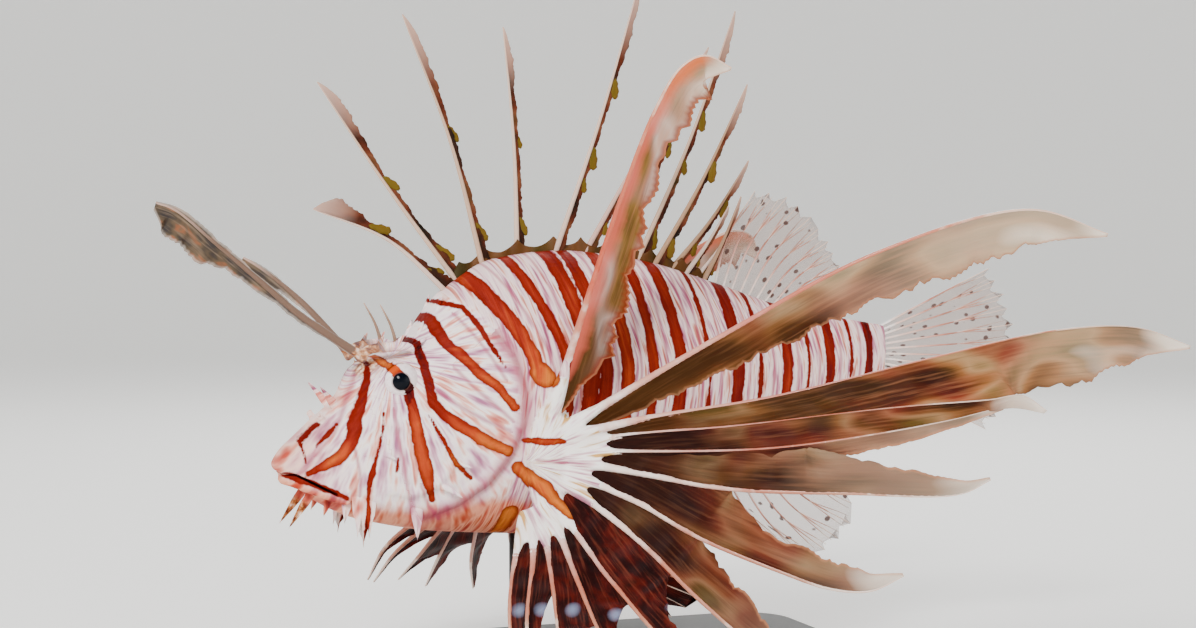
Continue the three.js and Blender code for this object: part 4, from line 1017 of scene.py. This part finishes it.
# Spine sheath: a thin skin stretched on horn, pinkish beige with olive and brown bands. To the eye it
# is satin, lit through at the membrane, darker where the bands cross it.
sheath, tree, shader = new_finish("banded spine sheath, satin")
bands = streaked(tree, 14.0, 9.0, 2.0)
fine = streaked(tree, 5.0, 0.7, 3.0)
colour = node(tree, "ValToRGB", {"Fac": bands}, [
    (0.3, "#6e5024"), (0.42, "#b89478"), (0.55, "#e6d0c4"), (0.7, "#b4806c"),
])
web_colour = node(tree, "ValToRGB", {"Fac": bands}, [
    (0.3, "#120a02"), (0.42, "#2e1406"), (0.5, "#4a200e"), (0.6, "#603824"), (0.72, "#302404"),
])
tipped = node(tree, "MapRange", {"Value": "share", 1: 0.72, 2: 1.0, 3: 0.0, 4: 0.75})
flagged = node(tree, "Math", {0: "lappet", 1: 0.85}, operation="MULTIPLY")
for share, tint in (("web", web_colour), (tipped, "#ceac9c"), (flagged, "#64500c")):
    colour = node(tree, "Mix", {0: share, 6: colour, 7: tint}, data_type="RGBA")
rise = node(tree, "Bump", {"Height": fine, "Strength": 0.5, "Distance": 0.0003})
fill(tree, shader, {
    "Base Color": colour, "Normal": rise, "Roughness": 0.5, "Specular IOR Level": 0.12,
    "Subsurface Weight": 0.15, "Subsurface Radius": (1.0, 0.5, 0.3), "Subsurface Scale": 0.0015,
})

chance = np.random.default_rng(11)
spine_lines, spine_webs = [], []
for k, (root_x, lean, length, bow, leaf) in enumerate(DORSAL_SPINES):
    tilt = math.radians(lean)
    splay = SPINE_SPLAY * (1 if k % 2 else -1) * min(1, length / 40)
    root = np.array((root_x, 0, float(along(BACK, root_x)) - 3))
    rise_way = unit(np.array((math.sin(tilt), math.sin(splay), math.cos(tilt))))
    tip = root + (length + 3) * rise_way
    behind = np.array((math.cos(tilt), 0, -math.sin(tilt)))
    curve = curve_through([root, (root + tip) / 2 + bow * behind, tip])
    spine_lines.append((curve, lambda s: 1.05 - 0.85 * s**0.9, {"ray": k, "web": 0}))
    narrow = min(2.4, 0.8 * leaf)
    broad = 0.95 * leaf if k == 0 else 0.75 * leaf
    widths = [
        (0, 0.9 * leaf), (0.2, narrow), (0.55, 0.75 * narrow), (0.84, broad), (0.95, 0.6 * broad), (1, 0.3),
    ]
    rows = int(length / 0.7) + 8
    spine_webs.append(vane(
        curve, lambda s, widths=widths: along(widths, s), (0, -1, 0), 1, rows, 6, lambda s: 0.7 - 0.5 * s,
        (0.3, 7.0), (0.4, 12.0), k, {"ray": k, "web": 1},
    ))
    # Lappets: small flags of skin on the membrane's rear edge.
    for share_at in np.arange(0.2, 0.7, 24 / max(length, 40)):
        share_at = share_at + chance.uniform(-0.09, 0.09)
        base = curve(np.array([share_at]))[0] + behind * float(along(widths, share_at)) * 0.8
        big = chance.uniform(0.8, 1.4) * min(1, length / 50)
        aside = np.array((0, chance.uniform(-0.6, 0.6), 0))
        flag = [base + 3.4 * big * rise_way - 0.5 * behind, base + 0.5 * big * behind + aside,
                base - 2.6 * big * rise_way + 1.3 * big * behind + aside]
        swell = lambda s, big=big: (
            big * (0.2 + 2 * s**0.7 * (1 - s) ** 0.35 + 0.18 * np.sin(16 * s + 9 * big)))
        points, faces, values = limb(flag, swell, lambda s: 0.2 + 0 * s, (0, 1, 0), 9, 8)
        spine_webs.append((points, faces, {
            **values, "ray": np.full(len(points), k), "web": np.ones(len(points)),
            "gone": np.full(len(points), 9.0 + 14 * chance.integers(0, 4)),
            "share": np.full(len(points), 0.3), "lappet": np.ones(len(points)),
        }))

web_x = np.linspace(DORSAL_SPINES[0][0] - 1, DORSAL_SPINES[-1][0] + 2, 240)
feet = np.array([row[0] for row in DORSAL_SPINES], float)
gap = np.min(np.abs(web_x[:, None] - feet[None, :]), axis=1)
web_height = 1.4 + 3.8 * np.exp(-gap / 2.6)
web_height *= smoothstep(0, 4, web_x - web_x[0]) * smoothstep(0, 4, web_x[-1] - web_x)
low, high = along(BACK, web_x) - 2, along(BACK, web_x) + web_height
levels = np.linspace(0, 1, 8)
half = 0.9 - 0.72 * levels
shift = 0.5 * np.sin(web_x * 0.9)[:, None] * levels[None, :]
rise = low[:, None] + levels[None, :] * (high - low)[:, None]
grid = np.stack([np.broadcast_to(web_x[:, None], shift.shape), shift, rise], -1)
half = half[None, :, None] * np.array((0, 1, 0))
spine_webs.append(loft(two_sided(grid, -half), share=0.1, gone=web_x[:, None], from_ray=4.0, ray=3.0,
                       web=1.0, lappet=0.25))
spines = grow_rays("back_spines", spine_lines, sheath, 0.006, 0.03, 10)
webs = make_piece("back_spine_webs", spine_webs, sheath)
for piece in (spines, webs):
    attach(piece, "root")
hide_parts("spiny_dorsal_fin")


# Pectoral fins: thirteen long unbranched rays from a fleshy root, fanned outwards and back. Each
# carries a thin mottled membrane, joined to the next ray near the root and free beyond, with a pale
# ragged tip. The right fin is held folded further back about its root.

# Upper fin membrane: skin as thin as paper. Dark red-brown by the root, then broad olive and brown
# clouds on tan, milk white at the tips, with a salmon edge and fine streaks along the ray.
mottled, tree, shader = new_finish("mottled fin membrane, paper thin")
patches = streaked(tree, 30.0, 12.0, 1.0)
shifts = streaked(tree, 21.0, 17.0, 1.0)
streaks = streaked(tree, 18.0, 1.0, 3.0)
tan, red, grey_pink = (
    node(tree, "ValToRGB", {"Fac": patches}, stops)
    for stops in (
        [(0.34, "#241602"), (0.42, "#4c3010"), (0.5, "#84562c"), (0.58, "#a07c54"), (0.68, "#5c4a1c")],
        [(0.34, "#240503"), (0.43, "#4e160a"), (0.52, "#74301c"), (0.6, "#945638"), (0.7, "#54280c")],
        [(0.34, "#42300c"), (0.42, "#745628"), (0.49, "#8c6450"), (0.57, "#b0988c"), (0.68, "#7c4030")],
    )
)
leaning = node(tree, "Math", {0: "reddish", 1: 0.28, 2: shifts}, operation="MULTIPLY_ADD")
depth = node(tree, "Math", {0: patches, 1: 0.4, 2: "share"}, operation="MULTIPLY_ADD")
closer = node(tree, "Math", {0: "reddish", 1: -0.18, 2: depth}, operation="MULTIPLY_ADD")
closer = node(tree, "Math", {0: "first", 1: 0.16, 2: closer}, operation="MULTIPLY_ADD")
onset = node(tree, "Math", {0: depth, 1: "early"}, operation="ADD")
redder, rooted, dimmer, streak_share, shade_share, outer, tip, front, late, ended, rear, rim = (
    node(tree, "MapRange", {"Value": value, 1: start, 2: end, 3: low, 4: high})
    for value, start, end, low, high in (
        (leaning, 0.54, 0.76, 0.0, 1.0), (closer, 0.32, 0.72, 0.95, 0.0), ("dim", 0.1, 0.34, 0.0, 1.0),
        (streaks, 0.48, 0.7, 0.0, 0.3), (streaks, 0.45, 0.3, 0.0, 0.35), (onset, 0.8, 1.25, 0.0, 0.72),
        (depth, 1.08, 1.24, 0.0, 0.85), ("across", 0.42, 0.16, 0.0, 0.75), ("share", 0.72, 0.84, 0.0, 1.0),
        ("share", 0.97, 0.92, 0.0, 1.0), ("across", 0.74, 0.94, 0.0, 0.85), ("to_rim", 1.1, 0.3, 0.0, 0.5),
    )
)
held = node(tree, "Math", {0: rooted, 1: -0.75, 2: 1.0}, operation="MULTIPLY_ADD")
held = node(tree, "Math", {0: held, 1: streak_share}, operation="MULTIPLY")
on_first = node(tree, "Math", {0: "first", 1: ended}, operation="MULTIPLY")
front, rear = (node(tree, "Math", {0: part, 1: on_first}, operation="MULTIPLY") for part in (front, rear))
root_tone = node(tree, "Mix", {0: dimmer, 6: "#3c2208", 7: "#120101"}, data_type="RGBA")
front_tone = node(tree, "Mix", {0: late, 6: "#c25444", 7: "#c8520c"}, data_type="RGBA")
# Outwards the membrane pales to a greyish cream, sooner on some rays, and the lower ones stay dim.
# The topmost ray's has a salmon front, an orange patch by its tip and a brown-orange notched rear.
colour = tan
for share, tint in (
    (redder, red), ("first", grey_pink), (rooted, root_tone), (held, "#b4744e"), (shade_share, "#3a1408"),
    (outer, "#c4ac90"), ("dim", "#240a04"), (tip, "#eee2d4"), (front, front_tone), (rear, "#701c02"),
    (rim, "#b87c58"),
):
    colour = node(tree, "Mix", {0: share, 6: colour, 7: tint}, data_type="RGBA")
rise = node(tree, "Bump", {"Height": streaks, "Strength": 0.6, "Distance": 0.0004})
fill(tree, shader, {
    "Base Color": colour, "Normal": rise, "Roughness": 0.6, "Specular IOR Level": 0.08,
    "Subsurface Weight": 0.12, "Subsurface Radius": (1.0, 0.45, 0.3), "Subsurface Scale": 0.001,
})

# Lower fin web: the same skin, but deep wine red with rust tints, and a row of round, blue-white spots.
wine, tree, shader = new_finish("wine red fin web with pale spots")
patches = streaked(tree, 11.0, 5.0, 3.0)
streaks = streaked(tree, 14.0, 0.9, 4.0)
streak_share, spots = (
    node(tree, "MapRange", {"Value": value, 1: start, 2: end, 3: 0.0, 4: high})
    for value, start, end, high in ((streaks, 0.5, 0.75, 0.22), ("spot_off", 3.1, 0.9, 0.8))
)
colour = node(tree, "ValToRGB", {"Fac": patches}, [
    (0.3, "#100101"), (0.5, "#240302"), (0.62, "#440a03"), (0.75, "#240803"),
])
for share, tint in ((streak_share, "#a8543c"), (spots, "#7c88a4")):
    colour = node(tree, "Mix", {0: share, 6: colour, 7: tint}, data_type="RGBA")
rise = node(tree, "Bump", {"Height": streaks, "Strength": 0.5, "Distance": 0.0004})
fill(tree, shader, {
    "Base Color": colour, "Normal": rise, "Roughness": 0.55, "Specular IOR Level": 0.08,
    "Subsurface Weight": 0.1, "Subsurface Radius": (1.0, 0.3, 0.2), "Subsurface Scale": 0.0015,
})

# Ray skin: horn rods in a thin sheath, milk white and thick at the root, salmon further out.
ray_skin, tree, shader = new_finish("fin ray, horn under thin pink skin")
coords = node(tree, "TexCoord", {}, out="Object")
speck = node(tree, "TexNoise", {"Vector": coords, "Scale": 150.0, "Detail": 3.0})
place = node(tree, "Math", {0: speck, 1: 0.4, 2: "share"}, operation="MULTIPLY_ADD")
white_rod, red_rod = (
    node(tree, "ValToRGB", {"Fac": place}, stops)
    for stops in (
        [(0.22, "#fff6f0"), (0.5, "#eed0c2"), (0.72, "#b87058"), (0.95, "#b8846a"), (1.0, "#e2c8ba")],
        [(0.22, "#fff6f0"), (0.4, "#c87a5e"), (0.55, "#bc4424"), (0.9, "#c26a4a"), (1.0, "#e0b8a2")],
    )
)
colour = node(tree, "Mix", {0: "warmth", 6: white_rod, 7: red_rod}, data_type="RGBA")
fill(tree, shader, {
    "Base Color": colour, "Roughness": 0.38, "Coat Weight": 0.2,
    "Subsurface Weight": 0.2, "Subsurface Radius": (1.0, 0.5, 0.35), "Subsurface Scale": 0.002,
})

# Each ray's thickness at its root, how far its membrane leans to red, how dim it is, how early it
# pales, and how red the ray itself is.
RAY_TINTS = [
    (1, 0.5, 0.06, -0.02, 1.0), (0.9, 0.25, 0.08, 0.2, 0.75), (0.7, 0.35, 0.1, -0.1, 0.7),
    (0.6, 0.7, 0.34, -0.2, 0.6), (0.6, 1, 0.4, 0.05, 0.5), (0.85, 0.55, 0.46, 0.12, 0.1),
    (0.95, 0.6, 0.46, -0.06, 0.1), (1, 0.65, 0.5, -0.1, 0.1), *[(1, 1, 0.5, 0, 0.35)] * 5,
]
SPOT_SHARE = 0.66  # the way along each lower ray where its web has a pale spot
for side, sign in SIDES.items():
    curves = [curve_through(folded(ray, sign)) for ray in PECTORAL_RAYS]
    spots = [curve(np.array([SPOT_SHARE]))[0] for curve in curves]
    face = unit(np.array((-0.3, sign * 0.95, 0)))
    shells, lines = [], []
    for k, (ray, curve, tints) in enumerate(zip(PECTORAL_RAYS, curves, RAY_TINTS)):
        root_girth, reddish, dim, early, warmth = tints
        slim = 0.4 if sign > 0 and k > 9 else 1  # the folded right fin's last webs are narrow
        girth = lambda s, root_girth=root_girth: (
            along(RAY_GIRTH, s) * (1 + (root_girth - 1) * smoothstep(0, 0.25, s)))
        join = ray.get("join")
        shells.append(vane(
            curve, lambda s: slim * along(ray["widths"], s), face, ray["side"] * -sign,
            max(70, int(curve.length / 1.1)), 14, lambda s: 0.8 * along(RAY_GIRTH, s),
            (0.24, 10.0) if k == 0 else (0.13, 8.5), (0.6, 21.0), 20 + k,
            {"ray": k, "reddish": reddish, "first": k == 0, "dim": dim, "early": early},
            join and (curves[join[0]], *join[1:]),
        ))
        points, _, values = shells[-1]
        spot = (spots[k] + spots[k - 1]) / 2
        values["spot_off"] = np.linalg.norm(points - spot, axis=1) + (FAR if sign > 0 else 0)
        lines.append((curve, girth, {"warmth": warmth}))
    upper = make_piece(f"pectoral_membrane_{side}", shells[:UPPER_RAYS], mottled)
    lower = make_piece(f"pectoral_lower_web_{side}", shells[UPPER_RAYS:], wine)
    rays = grow_rays(f"pectoral_rays_{side}", lines, ray_skin, 0.0027, 0.05, 10)
    for piece in (upper, lower, rays):
        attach(piece, "root")
    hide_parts(f"pectoral_top_{side}", f"pectoral_fan_{side}")
    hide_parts(f"pectoral_lower_{side}")


# Brow tentacles: a soft feeler over each eye, a stalk that widens to a lobed leaf, olive brown with
# orange spots and pale edges. It grows from the stub on the brow. The left one is the long one.
LEAF_SIZE = {"left": 1.0, "right": 0.6}
feeler_skin, tree, shader = new_finish("brow feeler skin, soft and blotched")
clouds = streaked(tree, 7.0, 4.0, 2.0)
threads = streaked(tree, 14.0, 0.8, 3.0)
thread_share, rim = (
    node(tree, "MapRange", {"Value": value, 1: start, 2: end, 3: 0.0, 4: high})
    for value, start, end, high in ((threads, 0.5, 0.7, 0.4), ("to_rim", 1.2, 0.3, 0.6))
)
colour = node(tree, "ValToRGB", {"Fac": clouds}, [
    (0.34, "#1c0c04"), (0.44, "#34240c"), (0.54, "#503a20"), (0.62, "#80441c"), (0.7, "#5e4428"),
])
for share, tint in ((thread_share, "#9a8068"), (rim, "#b0a49a")):
    colour = node(tree, "Mix", {0: share, 6: colour, 7: tint}, data_type="RGBA")
fill(tree, shader, {"Base Color": colour, "Roughness": 0.45})
for side, sign in SIDES.items():
    size = LEAF_SIZE[side]
    root = on_side(STUB, sign)
    lean = unit(np.array(TENTACLE_ROUTES[side][0]) - root)
    curve = curve_through([root + 3.5 * lean, *TENTACLE_ROUTES[side]])
    leaf, lobe = (
        vane(curve, lambda s: size * along(widths, s), unit(np.array((-0.3, -0.95, 0))), hand, 130, columns,
             lambda s: 0.9 - 0.6 * s, tear, ripple, seed + sign, {"ray": ray + sign})
        for widths, hand, columns, tear, ripple, seed, ray in (
            ([(0, 1.6), (0.35, 2.4), (0.6, 4.6), (0.8, 9), (0.93, 8), (1, 2.4)], -1, 10,
             (0.2, 9.0), (0.7, 12.0), 50, 30),
            ([(0, 1.2), (0.5, 1.2), (0.8, 1.8), (1, 0.6)], 1, 6, (0.3, 11.0), (0.4, 10.0), 60, 33),
        )
    )
    feeler = make_piece(f"brow_feeler_{side}", [leaf, lobe], feeler_skin)
    thread = curve_through([(-77, sign * 10.6, -11), (-79.4, sign * 11.2, -3), (-83.4, sign * 11.8, 4.6)])
    stalk = grow_rays(f"brow_feeler_stalk_{side}", [
        (curve, lambda s: 1.45 - 1.1 * s, {"ray": 1, "web": 0.75}),
        (thread, lambda s: 0.75 - 0.55 * s, {"ray": 2, "web": 0.5}),
    ], sheath, 0.004, 0.02, 12)
    for piece in (feeler, stalk):
        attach(piece, "root")
    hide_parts(f"brow_tentacle_{side}")


# Soft back fin, anal fin and tail fin: thin branching rays in a clear membrane, with rows of small dark
# spots. To the eye the rays are pale threads and the membrane is close to glass.
SPOT_SPACING = 4.6
clear_web, tree, shader = new_finish("clear fin membrane with dark spots")
place = node(tree, "CombineXYZ", {0: "gone", 1: "from_ray"})
cells = node(tree, "TexVoronoi", {"Vector": place, "Scale": 1 / SPOT_SPACING, "Randomness": 0.55})
spot = node(tree, "MapRange", {"Value": cells, 1: 0.27, 2: 0.2, 3: 0.0, 4: 0.9})
colour = node(tree, "Mix", {0: spot, 6: "#a98c80", 7: "#3d1208"}, data_type="RGBA")
veil = node(tree, "MapRange", {"Value": spot, 1: 0.0, 2: 0.9, 3: 0.3, 4: 0.85})
fill(tree, shader, {"Base Color": colour, "Alpha": veil, "Roughness": 0.3})

# Each fin's rays: how many, the first root and the last, the first angle and the last, how much each
# bends, and its length for a share of the way from the first to the last.
SOFT_FINS = {
    "soft_dorsal_fin": (11, (45, 77), BACK, (66, 26), 8, [(0, 40), (0.2, 43), (0.7, 34), (1, 23)]),
    "anal_fin": (10, (43, 76), BELLY, (-62, -26), -8,
                 [(0, 17), (0.12, 23), (0.23, 29), (0.35, 45), (0.55, 48), (1, 29)]),
    "tail_fin": (12, (TAIL_ROOT_X - 2.5,) * 2, None, (25, -25), 0, None),
}
TAIL_ROOT_TOP, TAIL_ROOT_DEPTH = -6.4, 18.0


def web_between(curves, reach, half, rows, per_gap, sway, seed):
    """One thin closed sheet laid over a row of rays, drawn in a little at its rim between them."""
    s = np.linspace(0, 1, rows)
    columns = []
    for k, (a, b) in enumerate(zip(curves, curves[1:])):
        for t in np.linspace(0, 1, per_gap, endpoint=k == len(curves) - 2):
            draw = 1 - (1 - reach) * math.sin(math.pi * t) ** 0.6
            at = a(s * draw) * (1 - t) + b(s * draw) * t
            over = unit(np.cross(headings(at), b(s * draw) - a(s * draw) + 1e-6))
            bulge = sway * math.sin(math.pi * t) * np.sin(5 * s + k * 1.3 + seed) * smoothstep(0, 0.4, s)
            columns.append((at + bulge[:, None] * over, over, s * draw * a.length,
                            np.full(rows, 6.0 * (k + t)), s, (1 - s) * a.length))
    middle, over, *marks = (np.stack(column, 1) for column in zip(*columns))
    thick = half * np.interp(s, [0, 1], [2.2, 0.8])[:, None, None]
    marks = [np.concatenate([mark, mark[:, ::-1]], axis=1) for mark in marks]
    return loft(two_sided(middle, thick * over), spot_off=FAR,
                **dict(zip(("gone", "from_ray", "share", "to_rim"), marks)))


for name, (count, root_span, edge, angles, curl, lengths) in SOFT_FINS.items():
    curves = []
    for k, q in enumerate(np.linspace(0, 1, count)):
        root_x, angle = np.interp(q, (0, 1), root_span), np.interp(q, (0, 1), angles)
        if edge:
            root_z = float(along(edge, root_x)) + (-3 if edge is BACK else 3)  # sunk in the flesh
            reach = float(along(lengths, q))
        else:
            root_z = TAIL_ROOT_TOP - TAIL_ROOT_DEPTH * q
            reach = 52.5 + 7 * math.sin(math.pi * q)
        turn, bent = math.radians(angle), math.radians(angle + curl)
        curves.append(curve_through([
            (root_x, 0, root_z),
            (root_x + 0.5 * reach * math.cos(bent), 0, root_z + 0.5 * reach * math.sin(bent)),
            (root_x + reach * math.cos(turn), 0.9 if k % 2 else -0.9, root_z + reach * math.sin(turn)),
        ]))
    # Each ray forks: a thin branch leans towards each neighbour over its outer half.
    lines = []
    for k, curve in enumerate(curves):
        lines.append((curve, lambda s: 0.5 - 0.36 * s, {"warmth": 0.3}))
        for neighbour in curves[max(k - 1, 0):k] + curves[k + 1:k + 2]:
            s = np.linspace(0, 1, 7)
            at = 0.5 + 0.47 * s
            apart = 0.3 * smoothstep(0, 1, s)[:, None]
            path = curve(at) * (1 - apart) + neighbour(at) * apart
            lines.append((curve_through(path), lambda s: 0.26 - 0.16 * s, {"warmth": 0.1}))
    rays = grow_rays(f"{name}_rays", lines, ray_skin, 0.0018, 0.12, 6)
    web = make_piece(f"{name}_web", [web_between(curves, 0.93, 0.12, 40, 7, 0.5, len(name))], clear_web)
    for piece in (rays, web):
        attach(piece, "root")
    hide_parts(name)


# Pelvic fins: a spine and five rays each in a wine red web, held down and back under the belly.
for side, sign in SIDES.items():
    curves = []
    for k in range(6):
        q = k / 5
        root = np.array((-17 + 12 * q, sign * (9 - 2 * q), -74))
        tip = np.array((8 + 34 * q, sign * (38 - 18 * q), -107 + 11 * q))
        tip = root + (tip - root) * (0.62 if k == 0 else 1)
        curves.append(curve_through([root, (root + tip) / 2 + (-2, sign * 2, -3), tip]))
    web = make_piece(f"pelvic_web_{side}", [web_between(curves, 0.9, 0.16, 44, 8, 0.9, 3)], wine)
    lines = [(curve, lambda s, k=k: (1.1 if k == 0 else 0.75) * (1 - 0.75 * s), {"warmth": 0.7})
             for k, curve in enumerate(curves)]
    rays = grow_rays(f"pelvic_rays_{side}", lines, ray_skin, 0.002, 0.08, 8)
    for piece in (web, rays):
        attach(piece, "root")
    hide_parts(f"pelvic_fin_{side}")


# Display stand: a flat steel plate with rounded corners and a soft edge, and one steel rod up to the
# belly, both in satin black paint. A thin collar holds the rod on the plate.
BASE_LENGTH, BASE_WIDTH, BASE_THICK, BASE_CORNER, UPPER_EDGE = 190.0, 116.0, 8.0, 20.0, 1.4
ROD_X, ROD_RADIUS = -30.0, 3.5
paint, tree, shader = new_finish("satin black paint on steel")
coords = node(tree, "TexCoord", {}, out="Object")
dust = node(tree, "TexNoise", {"Vector": coords, "Scale": 900.0, "Detail": 2.0})
black = node(tree, "ValToRGB", {"Fac": dust}, [(0.35, "#161617"), (0.65, "#1f1f21")])
orange_peel = node(tree, "Bump", {"Height": dust, "Strength": 0.12, "Distance": 0.0002})
fill(tree, shader, {"Base Color": black, "Normal": orange_peel, "Roughness": 0.42})

corner = np.radians(np.arange(0, 91, 7.5))
turns = np.concatenate([corner + math.radians(turn) for turn in (0, 90, 180, 270)])
middles = np.repeat(((1, 1), (-1, 1), (-1, -1), (1, -1)), len(corner), axis=0)
out = np.stack([np.cos(turns), np.sin(turns)], 1)
outline = middles * (BASE_LENGTH / 2 - BASE_CORNER, BASE_WIDTH / 2 - BASE_CORNER) + BASE_CORNER * out
soft = np.radians(np.arange(0, 91, 15))
rings = [np.column_stack([outline - inset * out, np.full(len(outline), z)]) for inset, z in (
    [(1 - math.sin(t), 1 - math.cos(t)) for t in soft]
    + [(UPPER_EDGE * (1 - math.cos(t)), BASE_THICK - UPPER_EDGE * (1 - math.sin(t))) for t in soft]
)]
plate = make_piece("stand_plate", [loft(np.array(rings) - (0, 0, SWIM_HEIGHT))], paint)
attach(plate, "root")
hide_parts("stand_base")

foot, top = BASE_THICK - SWIM_HEIGHT, float(along(BELLY, ROD_X)) + 1.5
around = 2 * math.pi * np.arange(40) / 40
wheel = np.stack([np.cos(around), np.sin(around), 0 * around], 1)
turned = [(ROD_RADIUS + 3.2, foot), (ROD_RADIUS + 3.2, foot + 1.6), (ROD_RADIUS + 2.6, foot + 2.2),
          (ROD_RADIUS + 0.5, foot + 2.4), (ROD_RADIUS, foot + 2.9), (ROD_RADIUS, top)]
rings = np.array([wheel * (r, r, 0) + (ROD_X, 0, z) for r, z in turned])
rod = make_piece("stand_post", [loft(rings)], paint)
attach(rod, "root")
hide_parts("stand_rod")
